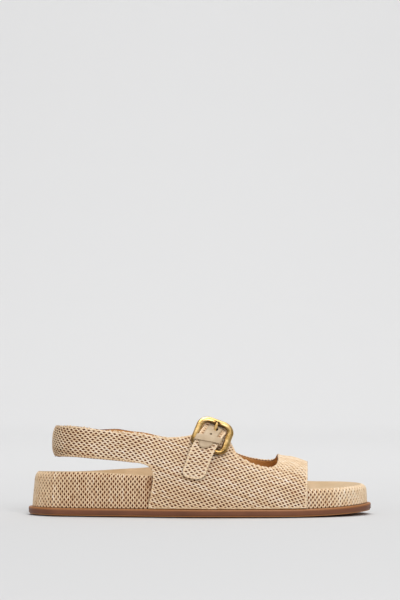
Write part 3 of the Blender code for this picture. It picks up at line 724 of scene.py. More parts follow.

# %% [markdown]
# Round the footbed the strips stand upright: they start above the lip of the outsole, climb the
# side, roll over the rim and end under the sock. Under the upper only their rolled ends show,
# inside the shoe, and just behind it a painted shade darkens them, for the shade of the upper. The
# surface they follow is worked out once as a fine table of points, and each strip reads its place
# in it.

# %% The surface under the strips
UPPER_FROM, UPPER_TO = -33.5, 77.5
TUCK_WIDE, TUCK_SHADE, TUCK_LOW, TUCK_HIGH = 7.0, -0.42, 8.0, 28.0
TUCK_FROM, TUCK_LEAN, TUCK_LEAST = -38.8, 0.15, 0.3
HEEL_SHADE, HEEL_SHADE_FADE = -0.1, 40.0
TOE_SPREAD, TOE_SPREAD_FULL = 0.18, 115.0
RAND_LIFT, RAND_RISE, RAND_CHANCE = -0.6, 0.05, 0.12
SKIN_HALF, SKIN_SIDE_STEPS, SKIN_ROLL_STEPS = 600, 14, 16
STRIP_END_IN = 0.4
fine = SoleRing(SKIN_HALF)
skin = rim_rings(fine, NET_DEPTH - RAND_RISE, SKIN_SIDE_STEPS, SKIN_ROLL_STEPS)
skin.append(bed_ring(fine, LIP + SOCK_INSET - STRIP_END_IN, 0.0, SOCK_THICK - STRIP_END_IN))
skin = np.stack(skin)
round_way = np.roll(skin, -1, axis=1) - np.roll(skin, 1, axis=1)
skin_out = unit(np.cross(round_way, np.gradient(skin, axis=0)))
perimeter = walked(skin[0])
around = perimeter[-1] + np.linalg.norm(skin[0, 0] - skin[0, -1])
count = 2 * round(around / STRIP_SPACING / 2)
climb = walked(skin)


def read_skin(values, row, col):
    """Values of the surface table at fractional rows and columns."""
    i = np.clip(row.astype(int), 0, len(values) - 2)
    j = np.floor(col).astype(int)
    f, g = (row - i)[:, None], (col - j)[:, None]
    j, k = j % values.shape[1], (j + 1) % values.shape[1]
    low = values[i, j] * (1 - g) + values[i, k] * g
    high = values[i + 1, j] * (1 - g) + values[i + 1, k] * g
    return low * (1 - f) + high * f


print("footbed is", round(around), "mm round, for", count, "strips")

# %% [markdown]
# Now the strips go on one by one. Each finds its column in the table, sways to its neighbours as it
# climbs, and gets a painted shade behind the upper and towards the heel, where less light falls. At
# the toe the strips are a little wider, because the outline spreads them there.

# %% Strips round the footbed
rand = Strips()
whole_round = np.append(perimeter, around)
for strip in range(count):
    col = np.interp(strip * around / count, whole_round, np.arange(len(fine.xy) + 1))
    here = int(col) % len(fine.xy)
    covered = UPPER_FROM < fine.xy[here, 0] < UPPER_TO
    start = climb[SKIN_SIDE_STEPS, here] if covered else 0.0
    up = np.arange(start, climb[-1, here], STRIP_STEP)
    row = np.interp(up, climb[:, here], np.arange(len(skin)))
    phase = 2 * math.pi * up / STRIP_WAVE + math.pi * strip + chance.normal(0, RAND_CHANCE)
    columns_per_mm = 1 / max(np.linalg.norm(skin[0, here] - skin[0, here - 1]), 1e-6)
    shifted = col + STRIP_SWAY * np.cos(phase) * columns_per_mm
    outs = read_skin(skin_out, row, shifted)
    centres = read_skin(skin, row, shifted)
    # Painted shade: darker just behind the back edge of the upper, most at the top, and towards the
    # heel.
    rear = TUCK_FROM + TUCK_LEAN * (centres[:, 2] - TUCK_LOW)
    deep = TUCK_LEAST + (1 - TUCK_LEAST) * ease((centres[:, 2] - TUCK_LOW) / (TUCK_HIGH - TUCK_LOW))
    painted_rand_shade = TUCK_SHADE * deep * ease(1 - (rear - centres[:, 0]) / TUCK_WIDE)
    painted_rand_shade[centres[:, 0] > UPPER_FROM] = 0.0
    painted_rand_shade = painted_rand_shade + HEEL_SHADE * ease(-centres[:, 0] / HEEL_SHADE_FADE)
    toe = ease((fine.xy[here, 0] - UPPER_TO) / (TOE_SPREAD_FULL - UPPER_TO))
    wide = STRIP_WIDE * (1 + TOE_SPREAD * toe)
    rand.lay(centres, outs, -RAND_LIFT * np.sin(phase), wide, NET_DEPTH, 0.0 if covered else painted_rand_shade)
rand.finish("footbed_raffia")

# %% [markdown]
# Shoemakers shape an upper over a last, a form of the foot. Ours is a table of cross sections: at
# each station along the foot it says how high the ridge is, where it runs, and how full and steep
# the sides are. A point on it is given by a station and by a turn from the outer edge of the sole,
# over the ridge, to the inner edge, so a flat pattern in stations and turns can be laid on the
# form.


# %% The last
WALL = 2.2
HEEL_CENTRE, HEEL_RADIUS = -78.0, 30.0
HEEL_BACK = HEEL_CENTRE - HEEL_RADIUS * math.pi / 2
SOLE_HOLD_FROM, SOLE_HOLD_FADE = -40.0, 24.0
LAST_HALF = 204
RIDGE = math.pi / 2

LastRow = namedtuple("LastRow", "u crest ridge reach full steep")
LAST = [
    LastRow(-126, 210, -0.5, 33.4, 2.0, 2.0),
    LastRow(-100, 180, -0.5, 31.0, 2.0, 2.0),
    LastRow(-78, 150, -0.5, 29.3, 2.0, 2.0),
    LastRow(-58, 125, -1.0, 32.0, 2.0, 2.0),
    LastRow(-38, 94, -2.0, 36.5, 2.05, 2.1),
    LastRow(-15, 77, -3.5, 40.0, 2.2, 2.3),
    LastRow(11, 69.0, -4.0, 40.0, 2.1, 2.2),
    LastRow(28, 62.2, -2.5, 42.0, 2.1, 2.2),
    LastRow(45, 52.5, 1.0, 44.0, 2.2, 2.4),
    LastRow(61, 43.4, 4.0, 44.0, 2.3, 2.7),
    LastRow(71, 41.9, 5.0, 44.0, 2.3, 2.8),
    LastRow(82, 38.2, 6.0, 44.0, 2.3, 2.9),
]
print("last has", len(LAST), "cross sections")

# %% [markdown]
# The class reads the table. Each section is half a superellipse, a rounded arch whose sides can be
# made fuller or steeper, and behind the heel's centre the sections swing round it like the leaves
# of a fan. A carved mesh would do too, but a formula also tells which way is out at every point.


# %% The last as a formula
class Last:
    """The form that the upper is pulled over, in stations along the foot and turns across it."""

    def __init__(self, ring):
        edge = ring.inset(LIP - GAP)
        half = ring.half
        self.lateral = edge[: half + 1]
        self.medial = np.vstack([edge[half:], edge[:1]])[::-1]
        self.rows = column(LAST, "u")

    def read(self, name, u):
        """One column of the table, read at a station."""
        return smooth(self.rows, column(LAST, name), u)

    def foot(self, u):
        """Height of the form's lower edge."""
        return OUTSOLE_THICK + GAP + lift(u)

    def reach(self, u, medial):
        """How far the edge of the sole lies from the ridge line."""
        lateral_y = np.interp(u, self.lateral[:, 0], self.lateral[:, 1])
        medial_y = np.interp(u, self.medial[:, 0], self.medial[:, 1])
        ridge = self.read("ridge", u)
        on_sole = np.where(medial, medial_y - ridge, ridge - lateral_y)
        hold = ease((u - SOLE_HOLD_FROM + SOLE_HOLD_FADE) / SOLE_HOLD_FADE)
        return hold * on_sole + (1 - hold) * self.read("reach", u)

    def point(self, u, turn):
        """Point on the form."""
        u, turn = np.broadcast_arrays(np.asarray(u, float), np.asarray(turn, float))
        medial = turn > RIDGE
        t = np.clip(np.where(medial, math.pi - turn, turn), 0, RIDGE)
        out = self.reach(u, medial) * np.cos(t) ** (2 / self.read("full", u))
        foot = self.foot(u)
        z = foot + (self.read("crest", u) - foot) * np.sin(t) ** (2 / self.read("steep", u))
        swing = np.clip((HEEL_CENTRE - u) / HEEL_RADIUS, 0, math.pi / 2)
        x = np.maximum(u, HEEL_CENTRE) - out * np.sin(swing)
        y = self.read("ridge", u) + np.where(medial, out, -out) * np.cos(swing)
        return np.stack([x, y, z], axis=-1)

    def normal(self, u, turn):
        """Direction out of the form."""
        du, dt = 0.4, 0.01
        u, turn = np.asarray(u, float), np.asarray(turn, float)
        along = self.point(u + du, turn) - self.point(u - du, turn)
        across = self.point(u, turn + dt) - self.point(u, turn - dt)
        return unit(np.cross(along, across))

    def turn_at(self, u, z):
        """Turn on the outer half where the form has this height."""
        foot = self.foot(u)
        share = np.clip((z - foot) / (self.read("crest", u) - foot), 0, 1)
        return np.arcsin(share ** (self.read("steep", u) / 2))


last = Last(SoleRing(LAST_HALF))
print("ridge at the instep", last.point(11, RIDGE).round(1), "mm")

# %% [markdown]
# The pattern is the cut edge of the upper: toe band, cut-out over the toes, collar, slingback and
# the back of the quarter. The rows give heights at stations for the outer and the inner half, and a
# smooth curve is run through them. The edges that a maker would bind are kept on their own for the
# binding later.

# %% The cut pattern of the upper
TOE_BAND_BACK, TOE_BAND_FRONT, TOE_BAND_FOOT = 59.2, 81.8, 79.8
QUARTER_BACK_FOOT = -38.8
SLING_TOP_BACK, SLING_FOOT_BACK = 67.4, 45.2
PATTERN_STEP, FRONT_POINTS = 1.5, 17

EdgeRow = namedtuple("EdgeRow", "u lateral medial")
COLLAR = [
    EdgeRow(3.4, 64.0, 62.4),
    EdgeRow(-3.5, 61.8, 60.4),
    EdgeRow(-10, 60.2, 58.6),
    EdgeRow(-22, 59.5, 57.6),
    EdgeRow(-38, 61.4, 60.3),
    EdgeRow(-55, 63.5, 62.6),
    EdgeRow(-65, 64.4, 64.0),
    EdgeRow(-75, 65.4, 63.6),
    EdgeRow(-85, 66.9, 64.2),
    EdgeRow(-95, 67.9, 65.5),
    EdgeRow(-110, 67.8, 66.6),
]
CUT_OUT = [
    EdgeRow(58.5, 40.7, 41.5),
    EdgeRow(56.2, 37.7, 39.5),
    EdgeRow(52.0, 36.6, 39.3),
    EdgeRow(46.5, 37.4, 39.9),
    EdgeRow(40.5, 39.2, 41.1),
    EdgeRow(34.0, 42.2, 43.0),
    EdgeRow(28.2, 46.0, 45.4),
    EdgeRow(24.6, 52.0, 50.6),
    EdgeRow(22.0, 57.4, 56.4),
    EdgeRow(20.4, 62.6, 58.8),
]
SLING_FOOT = [
    EdgeRow(-110, 45.1, 45.1),
    EdgeRow(-92, 45.0, 44.8),
    EdgeRow(-65, 42.8, 42.5),
    EdgeRow(-52, 41.4, 41.0),
    EdgeRow(-44, 40.5, 40.1),
    EdgeRow(-39.6, 39.0, 38.6),
    EdgeRow(-36.6, 36.4, 36.0),
    EdgeRow(-35.2, 32.6, 32.3),
    EdgeRow(-35.3, 27.5, 27.3),
    EdgeRow(-36.6, 18.0, 18.0),
]
print("cut-out has", len(CUT_OUT), "rows, collar", len(COLLAR), "and sling", len(SLING_FOOT))

# %% [markdown]
# A smooth curve joins the rows, walked in even steps, and heights are turned into turns on the
# last. Each half of the upper has three edges: the front of the toe band, the opening from the
# cut-out to the heel, and the lower edge of the sling.


# %% Cut edges from the rows
def pattern_edges(last, side):
    """Cut edges of one half of the upper, in stations and turns: front, opening, sling's foot."""

    def edge(rows, start=None, end=None):
        points = [(row.u, getattr(row, side)) for row in rows]
        points = ([start] if start else []) + points + ([end] if end else [])
        u, z = np.array(points, float).T
        length = walked(np.column_stack([u, z]))
        at = np.linspace(0, length[-1], max(2, int(length[-1] / PATTERN_STEP)) + 1)
        return np.column_stack([smooth(length, u, at), smooth(length, last.turn_at(u, z), at)])

    share = np.linspace(0, 1, FRONT_POINTS)
    front_u = TOE_BAND_FOOT + (TOE_BAND_FRONT - TOE_BAND_FOOT) * share
    front = np.column_stack([front_u, RIDGE * share])
    crest = float(last.read("crest", TOE_BAND_BACK))
    cut_out = edge(CUT_OUT, start=(TOE_BAND_BACK, crest))
    collar = edge(COLLAR, end=(HEEL_BACK, SLING_TOP_BACK))
    sling = edge(SLING_FOOT, start=(HEEL_BACK, SLING_FOOT_BACK))
    quarter_back = np.array([[QUARTER_BACK_FOOT, 0.0]])
    return front, np.vstack([cut_out, collar]), np.vstack([sling, quarter_back])


print("edges are walked in steps of", PATTERN_STEP, "mm")

# %% [markdown]
# The slingback is padded, so it swells a little between its edges and turns in at them round the
# heel. It could be a separate cushion, but the swell is small, so it is added to the rise off the
# last, and everything that is laid on the form follows it.

# %% Laying the pattern on the form
SLING_PAD, SLING_PAD_FROM, SLING_PAD_FADE = 0.9, -46.0, 22.0
SLING_TURN, SLING_TURN_FROM, SLING_TURN_FADE = 1.1, -90.0, 28.0


def padding(side, u, turn):
    """How far the padded sling swells between its edges, and turns in at them round the heel."""
    _, opening, foot = edges[side]
    top = np.interp(u, opening[::-1, 0], opening[::-1, 1])
    low = np.interp(u, foot[:-1, 0], foot[:-1, 1])
    share = np.clip((turn - low) / (top - low), 0, 1)
    edge = np.abs(2 * share - 1) ** 3
    swell = SLING_PAD * (1 - edge) * ease((SLING_PAD_FROM - u) / SLING_PAD_FADE)
    return swell - SLING_TURN * edge * ease((SLING_TURN_FROM - u) / SLING_TURN_FADE)


def on_form(side, u, turn, rise=0.0):
    """Point and outward direction over one half of the last, at a rise off it."""
    outs = last.normal(u, side_turn(side, turn))
    rise = np.asarray(rise) + padding(side, u, turn)
    return last.point(u, side_turn(side, turn)) + outs * rise[..., None], outs


def side_turn(side, turn):
    """Turn on the form of a lateral turn, mirrored for the medial half."""
    return turn if side == "lateral" else math.pi - turn


SIDES = ("lateral", "medial")
edges = {side: pattern_edges(last, side) for side in SIDES}
outlines = {side: np.vstack(edges[side]) for side in SIDES}
print("pattern has", {side: len(outlines[side]) for side in SIDES}, "points")

# %% [markdown]
# The wall of the upper is brown cloth on the outside and golden brown lining on the inside. A flat
# face is cut by the pattern, divided by lines so that it can bend, and laid on the last. The halves
# meet at the heel and over the toes. A Solidify modifier gives the wall, and its second material
# lines the inside.

# %% Cutting and laying a sheet
CLOTH_WALL = WALL - NET_DEPTH
GRID_STATION, GRID_GIRTH = 3.0, 30
WELD, SLIVER = 0.4, 0.02
INSIDE_SHARE, INSIDE_HIGH = 0.7, 30.0


def cut_sheet(outline, stations, lines, place):
    """A flat cut face, divided by lines along and across it, then laid on its form."""
    bm = bmesh.new()
    bm.faces.new([bm.verts.new((u, turn, 0.0)) for u, turn in outline])
    for axis, cuts in ((Vector((1, 0, 0)), stations), (Vector((0, 1, 0)), lines)):
        for at in cuts:
            geom = bm.verts[:] + bm.edges[:] + bm.faces[:]
            bmesh.ops.bisect_plane(bm, geom=geom, dist=1e-5, plane_co=axis * at, plane_no=axis)
    flat = np.array([vert.co for vert in bm.verts])
    for vert, point in zip(bm.verts, place(flat[:, 0], flat[:, 1])):
        vert.co = Vector(point) * MM
    return bm


def face_outwards(bm):
    """Turns a sheet so that its faces look away from the inside of the shoe."""
    bmesh.ops.recalc_face_normals(bm, faces=bm.faces)
    outward = 0.0
    for face in bm.faces:
        centre = face.calc_center_median()
        within = Vector((centre.x * INSIDE_SHARE, 0.0, INSIDE_HIGH * MM))
        outward += face.normal.dot(centre - within) * face.calc_area()
    if outward < 0:
        bmesh.ops.reverse_faces(bm, faces=bm.faces)


def thicken(piece, thickness, lined=0):
    """A wall outwards from the laid sheet, with another material inside if it is lined."""
    wall = piece.modifiers.new("wall", "SOLIDIFY")
    wall.thickness = thickness * MM
    wall.offset = 1.0
    wall.use_even_offset = True
    wall.use_quality_normals = True
    wall.material_offset = lined


print("cloth wall is", round(CLOTH_WALL, 2), "mm thick")

# %% [markdown]
# The lining shows inside the sling and under the cut-out. It is thin leather dyed golden brown,
# with a fine grain that a cell pattern in the bump gives.

# %% Golden brown lining
# Lining leather is thin and smooth: a soft gloss and a fine grain in golden brown. The grain is
# drawn coarser than life so that it shows.
lining, tree, shader, place = new_material("golden brown lining leather", Roughness=0.6)
GRAIN_MM, LINING_CLOUD_MM = 0.9, 12.0
grain = add_node(tree, "ShaderNodeTexVoronoi", {"Vector": place, "Scale": 1 / (GRAIN_MM * MM)})
patchy = add_node(
    tree,
    "ShaderNodeTexNoise",
    {"Vector": place, "Scale": 1 / (LINING_CLOUD_MM * MM), "Detail": 3.0},
)
tint = add_node(
    tree,
    "ShaderNodeValToRGB",
    {"Fac": patchy.outputs["Fac"]},
    stops=((0.3, "#B77E45"), (0.7, "#CB9458")),
)
tree.links.new(tint.outputs["Color"], shader.inputs["Base Color"])
pores = add_node(
    tree,
    "ShaderNodeBump",
    {"Height": grain.outputs["Distance"], "Strength": 0.3, "Distance": 0.1 * MM},
)
tree.links.new(pores.outputs["Normal"], shader.inputs["Normal"])
print("lining is made of", len(tree.nodes), "nodes")

# %% [markdown]
# Both halves are cut, laid and put in one mesh, and the points that meet at the heel and over the
# toes are welded. Long faces with many corners are made triangles, which bend without creases.

# %% The wall of the upper
stations = np.arange(HEEL_BACK + GRID_STATION, TOE_BAND_FRONT, GRID_STATION)
turns = np.linspace(0, RIDGE, GRID_GIRTH + 1)[1:-1]
wall_bm = bmesh.new()
for side in SIDES:
    half = cut_sheet(outlines[side], stations, turns, lambda u, turn: on_form(side, u, turn)[0])
    carried = bpy.data.meshes.new("half")
    half.to_mesh(carried)
    half.free()
    wall_bm.from_mesh(carried)
    bpy.data.meshes.remove(carried)
bmesh.ops.remove_doubles(wall_bm, verts=wall_bm.verts, dist=WELD * MM)
bmesh.ops.dissolve_degenerate(wall_bm, edges=wall_bm.edges, dist=SLIVER * MM)
bmesh.ops.triangulate(wall_bm, faces=[f for f in wall_bm.faces if len(f.verts) > 4])
face_outwards(wall_bm)
upper_wall = finished("upper_cloth_wall", wall_bm, cloth, lining)
thicken(upper_wall, CLOTH_WALL, lined=1)
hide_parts("upper")
print("upper wall has", len(upper_wall.data.polygons), "faces before its thickness")

# %% [markdown]
# On the upper the strips run from the heel to the toe and fall a little towards it. On the flat
# pattern a strip is a line of equal value of a field: the girth from the sole plus a slope that
# builds up along the foot. Over the toes the field bends so that the strips follow the ridge, as a
# band stretched over it does. Reading the field backwards gives every strip's girth at each
# station, and the cut pattern clips it. One plain ribbon runs along each foot, where the upper
# meets the sole, and one covers the seam at the heel.

# %% The field of the strips
SlopeRow = namedtuple("SlopeRow", "u degrees")
STRIP_SLOPE = [
    SlopeRow(-126, 7.0),
    SlopeRow(-75, 8.0),
    SlopeRow(-55, 10.0),
    SlopeRow(-35, 16.5),
    SlopeRow(-10, 17.5),
    SlopeRow(20, 17.0),
    SlopeRow(45, 19.5),
    SlopeRow(82, 23.0),
]
GIRTH_STEP, GIRTH_TURNS = 0.8, 140
PHASE_GIRTH, SWAY_CHANCE = 40.0, 0.12
SHORTEST_STRIP = 3
RIDGE_HOLD, RIDGE_HOLD_FROM, RIDGE_HOLD_FULL = 24.0, 52.0, 60.0
RIDGE_PAST = 0.12
EDGE_ROOM = 0.004
FOOT_STRIP_AT, FOOT_STRIP_WIDE, FOOT_STRIP_HIGH, FOOT_STRIP_SHADE = 0.65, 1.2, 0.8, -0.28
SEAM_POINTS, SEAM_STRIP_WIDE, SEAM_STRIP_HIGH, SEAM_STRIP_SHADE = 40, 2.0, 0.8, -0.12
SLING_FLAT_FROM, SLING_FLAT_FADE, SLING_FLAT, SLING_NARROW = -72.0, 30.0, 0.45, 0.12
SLING_SHADE, LOW_SHADE, LOW_TO, LOW_FADE = -0.1, -0.06, 28.0, 16.0


class HalfGirth:
    """Stations along and girth across one half of the last."""

    def __init__(self, last, side):
        self.u = np.arange(HEEL_BACK, TOE_BAND_FRONT + 2 * STRIP_STEP, STRIP_STEP)
        turns = np.linspace(0, RIDGE + RIDGE_PAST, GIRTH_TURNS)
        girth = walked(last.point(self.u[None, :], side_turn(side, turns)[:, None])).T
        self.ridge = np.array([np.interp(RIDGE, turns, g) for g in girth])
        self.b = np.arange(0, girth.max(), GIRTH_STEP)
        self.turn = np.array([np.interp(self.b, g, turns) for g in girth])

    def turns(self, u, b):
        """Lateral turn at a station and a girth."""
        i = np.clip((u - self.u[0]) / STRIP_STEP, 0, len(self.u) - 1.001)
        j = np.clip(np.broadcast_to(b, np.shape(u)) / GIRTH_STEP, 0, len(self.b) - 1.001)
        f, g = i % 1, j % 1
        i, j = i.astype(int), j.astype(int)
        low = self.turn[i, j] * (1 - g) + self.turn[i, j + 1] * g
        high = self.turn[i + 1, j] * (1 - g) + self.turn[i + 1, j + 1] * g
        return low * (1 - f) + high * f


def inside(outline, u, turn):
    """Whether points lie inside a cut pattern, by counting its edges on one side."""
    odd = np.zeros(u.shape, bool)
    for (u0, t0), (u1, t1) in zip(outline, np.roll(outline, -1, axis=0)):
        if t0 != t1:
            odd ^= ((t0 > turn) != (t1 > turn)) & (u < (u1 - u0) * (turn - t0) / (t1 - t0) + u0)
    return odd


def kept_runs(keep, least):
    """The stretches of points that are kept, if they have enough points for a ribbon."""
    ends = np.flatnonzero(np.diff(np.concatenate([[0], keep.astype(int), [0]])))
    runs = zip(ends[::2], ends[1::2])
    return [slice(first, after) for first, after in runs if after - first >= least]


print("a strip has at least", SHORTEST_STRIP, "points")

# %% [markdown]
# The strips of both halves are laid from the field. Towards the heel they are flatter and narrower,
# as raffia pulled tight round a curve is, and a painted shade darkens them there and low down near
# the sole, where less light reaches.

# %% Strips over the upper
upper_net = Strips()
for side in SIDES:
    girth = HalfGirth(last, side)
    slope = np.radians(smooth(column(STRIP_SLOPE, "u"), column(STRIP_SLOPE, "degrees"), girth.u))
    fall = np.concatenate([[0], np.cumsum(np.tan(slope[1:]) * STRIP_STEP)])
    run = np.concatenate([[0], np.cumsum(np.cos(slope[1:]) * STRIP_STEP)])
    field = girth.b[None, :] + fall[:, None]
    toe = np.searchsorted(girth.u, (TOE_BAND_BACK + TOE_BAND_FRONT) / 2)
    top = round((girth.ridge[toe] + fall[toe]) / STRIP_SPACING) * STRIP_SPACING
    near = ease(1 - (girth.ridge[:, None] - girth.b[None, :]) / RIDGE_HOLD)
    near = near * ease((girth.u - RIDGE_HOLD_FROM) / (RIDGE_HOLD_FULL - RIDGE_HOLD_FROM))[:, None]
    field = field * (1 - near) + (top - girth.ridge[:, None] + girth.b[None, :]) * near
    room = EDGE_ROOM if side == "lateral" else -EDGE_ROOM
    for strip in range(int(field.min() / STRIP_SPACING), int(field.max() / STRIP_SPACING)):
        b = np.array([np.interp(strip * STRIP_SPACING, row, girth.b, -1.0, -1.0) for row in field])
        known = b >= 0
        sway = STRIP_SWAY * (1 + chance.normal(0, SWAY_CHANCE))
        along = run - (b - PHASE_GIRTH) * np.sin(slope)
        phase = 2 * math.pi * along / STRIP_WAVE + math.pi * strip
        u = girth.u + sway * np.cos(phase) * np.sin(slope)
        b = b + sway * np.cos(phase) * np.cos(slope)
        turn = girth.turns(u, b)
        for part in kept_runs(known & inside(outlines[side], u, turn - room), SHORTEST_STRIP):
            centres, outs = on_form(side, u[part], turn[part], CLOTH_WALL - STRIP_SINK)
            heel = ease((SLING_FLAT_FROM - u[part]) / SLING_FLAT_FADE)
            high = NET_DEPTH * (1 - SLING_FLAT * heel)
            wide = STRIP_WIDE * (1 - SLING_NARROW * heel)
            # Painted shade: darker towards the heel and low down near the sole, where less light
            # reaches.
            shade = SLING_SHADE * heel + LOW_SHADE * ease((LOW_TO - centres[:, 2]) / LOW_FADE)
            upper_net.lay(centres, outs, -np.sin(phase[part]), wide, high, shade)
    # The ribbon along the foot gets a painted shade, for the shade where the upper meets the sole.
    foot = np.arange(QUARTER_BACK_FOOT + STRIP_STEP, TOE_BAND_FOOT, STRIP_STEP)
    centres, outs = on_form(side, foot, girth.turns(foot, FOOT_STRIP_AT), CLOTH_WALL - STRIP_SINK)
    high = NET_DEPTH * FOOT_STRIP_HIGH
    upper_net.lay(centres, outs, np.zeros_like(foot), FOOT_STRIP_WIDE, high, FOOT_STRIP_SHADE)
_, opening, sling_foot = edges["lateral"]
seam = np.linspace(sling_foot[0, 1], opening[-1, 1], SEAM_POINTS)
centres, outs = on_form("lateral", np.full_like(seam, HEEL_BACK), seam, CLOTH_WALL - STRIP_SINK)
high = NET_DEPTH * SEAM_STRIP_HIGH
upper_net.lay(centres, outs, np.zeros_like(seam), SEAM_STRIP_WIDE, high, SEAM_STRIP_SHADE)
upper_net.finish("upper_raffia")

# %% [markdown]
# The cut edges are bound: a cord of raffia is rolled over the edge of cloth and strips, and it
# shows as a pale bead along every opening. A curve with a round bevel could draw it, but here the
# bead is a tube laid on the middle of the wall, with a small swell at every turn of the raffia
# round it.


# %% A bead along an edge
BEAD = 0.8
BEAD_IN = 0.65
BEAD_TURN = 2.4
BEAD_SWELL = 0.12
BEAD_SIDES = 8
BEAD_STEP = 0.5
BEAD_LEAST_STEPS = 8
BEAD_NOTCH_SHADE = -0.5


def tube_points(centres, outs, radii, sides, closed, flat=1.0):
    """Rows of points round a line, with the way out of the surface at each of its points."""
    along = unit(heading(centres, closed))
    side = unit(np.cross(along, outs))
    up = np.cross(side, along) * flat
    angle = np.linspace(0, 2 * math.pi, sides + 1)
    angle[-1] = 0.0
    cos, sin = np.cos(angle)[None, :, None], np.sin(angle)[None, :, None]
    spoke = side[:, None] * cos + up[:, None] * sin
    points = centres[:, None] + spoke * np.asarray(radii)[:, None, None]
    return np.concatenate([points, points[:1]]) if closed else points


def even_steps(points, step, closed):
    """A line of points walked in even steps."""
    if closed:
        points = np.vstack([points, points[:1]])
    length = walked(points)
    at = np.linspace(0, length[-1], max(BEAD_LEAST_STEPS, round(length[-1] / step)) + 1)
    if closed:
        at = at[:-1]
    return np.column_stack([np.interp(at, length, values) for values in points.T]), at


def bead(name, line, radius, inwards, closed, paleness):
    """A raffia bead along a line of points, each with the direction out of the surface."""
    line, at = even_steps(line, BEAD_STEP, closed)
    centres, outs = line[:, :3], line[:, 3:]
    centres = centres + unit(np.cross(outs, heading(centres, closed))) * inwards
    turn = np.cos(2 * math.pi * at / BEAD_TURN)
    radii = radius * (1 + BEAD_SWELL * turn)
    if not closed:
        radii[[0, -1]] = 0.0
    piece = shaped_sheet(name, tube_points(centres, outs, radii, BEAD_SIDES, closed), raffia)
    nearest = np.array([np.argmin(((centres - spot) ** 2).sum(axis=1)) for spot in spots(piece)])
    # Painted shade in the notches between the turns of the raffia.
    paint(piece, "tone", paleness + BEAD_NOTCH_SHADE * np.clip(-turn[nearest], 0, 1) ** 3)
    print(name, "is", round(float(at[-1])), "mm long")


def on_wall(side, edge):
    """Points in the middle of the wall along a cut edge, with the direction out."""
    return np.hstack(on_form(side, edge[:, 0], edge[:, 1], WALL / 2))


print("bead is", 2 * BEAD, "mm thick")

# %% [markdown]
# Three beads bind the upper: an open one along the front of the toe band, a closed one round the
# whole opening, and an open one along the sling and down the backs of the quarters.

# %% Three bound edges
BeadRow = namedtuple("BeadRow", "name closed paleness")
BEADS = [
    BeadRow("toe_edge_bead", False, 0.5),
    BeadRow("opening_bead", True, 0.3),
    BeadRow("sling_edge_bead", False, 0.26),
]
for row, outer, inner in zip(BEADS, edges["lateral"], edges["medial"]):
    outer, inner = on_wall("lateral", outer), on_wall("medial", inner)
    if row.name == "sling_edge_bead":
        line = np.vstack([inner[::-1], outer[1:]])
    else:
        line = np.vstack([outer, inner[::-1][1:]])
    bead(row.name, line[:-1] if row.closed else line, BEAD, BEAD_IN, row.closed, row.paleness)

# %% [markdown]
# The strap is sewn to the inner quarter, comes over the instep, passes the buckle and lies down the
# outer quarter with its tip. Its middle line leans forwards with height, and a table says how far
# it stands off the form: it lifts over the hinge bar of the buckle and dips under the top bar.


# %% The path of the strap
STRAP_WIDTH, STRAP_THICK, STRAP_TIP_ROUND = 17.0, 1.8, 4.5
STRAP_EDGE_TURN = 0.15
HINGE_HEIGHT = 49.0
STRAP_TIP, STRAP_END = -22.3, 78.0
PATH_POINTS, PATH_ROUNDS = 240, 40
CORNER_STEPS = 8

LeanRow = namedtuple("LeanRow", "height x")
STRAP_LEAN = [
    LeanRow(29, -5.7),
    LeanRow(40, -1.7),
    LeanRow(48, 1.6),
    LeanRow(53, 4.4),
    LeanRow(58, 7.4),
    LeanRow(64, 11.0),
    LeanRow(70, 13.6),
]
RiseRow = namedtuple("RiseRow", "along offset")
STRAP_RISE = [
    RiseRow(-26, 2.6),
    RiseRow(-12, 4.9),
    RiseRow(-3.5, 7.2),
    RiseRow(2.5, 7.8),
    RiseRow(8, 7.45),
    RiseRow(13, 6.0),
    RiseRow(17, 4.3),
    RiseRow(21.8, 2.9),
    RiseRow(26, 2.4),
    RiseRow(34, 0.4),
    RiseRow(43, -0.8),
    RiseRow(52, 0.4),
    RiseRow(60, 2.4),
    RiseRow(66, 2.5),
    RiseRow(82, 2.5),
]
print("path has", len(STRAP_LEAN), "rows of lean and", len(STRAP_RISE), "of rise")

# %% [markdown]
# The middle line is found by going back and forth: a height gives the lean, and the lean moves the
# point to another height, so a few rounds settle it. Places on the strap are then given by a
# distance along it, a distance across it and an offset, which serves cloth, leather, holes and
# buckle alike.


# %% Places on the strap
class StrapPath:
    """The strap's middle line over the form, measured from the hinge bar of the buckle."""

    def __init__(self, last):
        self.last = last
        turn = np.linspace(STRAP_EDGE_TURN, math.pi - STRAP_EDGE_TURN, PATH_POINTS)
        u = np.zeros_like(turn)
        for _ in range(PATH_ROUNDS):
            z = last.point(u, turn)[:, 2]
            u = 0.5 * u + 0.5 * smooth(column(STRAP_LEAN, "height"), column(STRAP_LEAN, "x"), z)
        points = last.point(u, turn)
        along = walked(points)
        lateral = turn < RIDGE
        start = np.interp(HINGE_HEIGHT, points[lateral, 2], along[lateral])
        self.along, self.turn, self.u = along - start, turn, u

    def out(self, along, across):
        """Direction off the form."""
        turn = np.interp(along, self.along, self.turn)
        return self.last.normal(np.interp(along, self.along, self.u) + across, turn)

    def point(self, along, across, offset):
        """Point at a distance along the strap, a distance across it and an offset off the form."""
        along = np.asarray(along, float)
        turn = np.interp(along, self.along, self.turn)
        u = np.interp(along, self.along, self.u) + across
        off = self.out(along, across) * np.asarray(offset, float)[..., None]
        return self.last.point(u, turn) + off

    def rise(self, along):
        """Offset of the strap's inner face."""
        return smooth(column(STRAP_RISE, "along"), column(STRAP_RISE, "offset"), along)


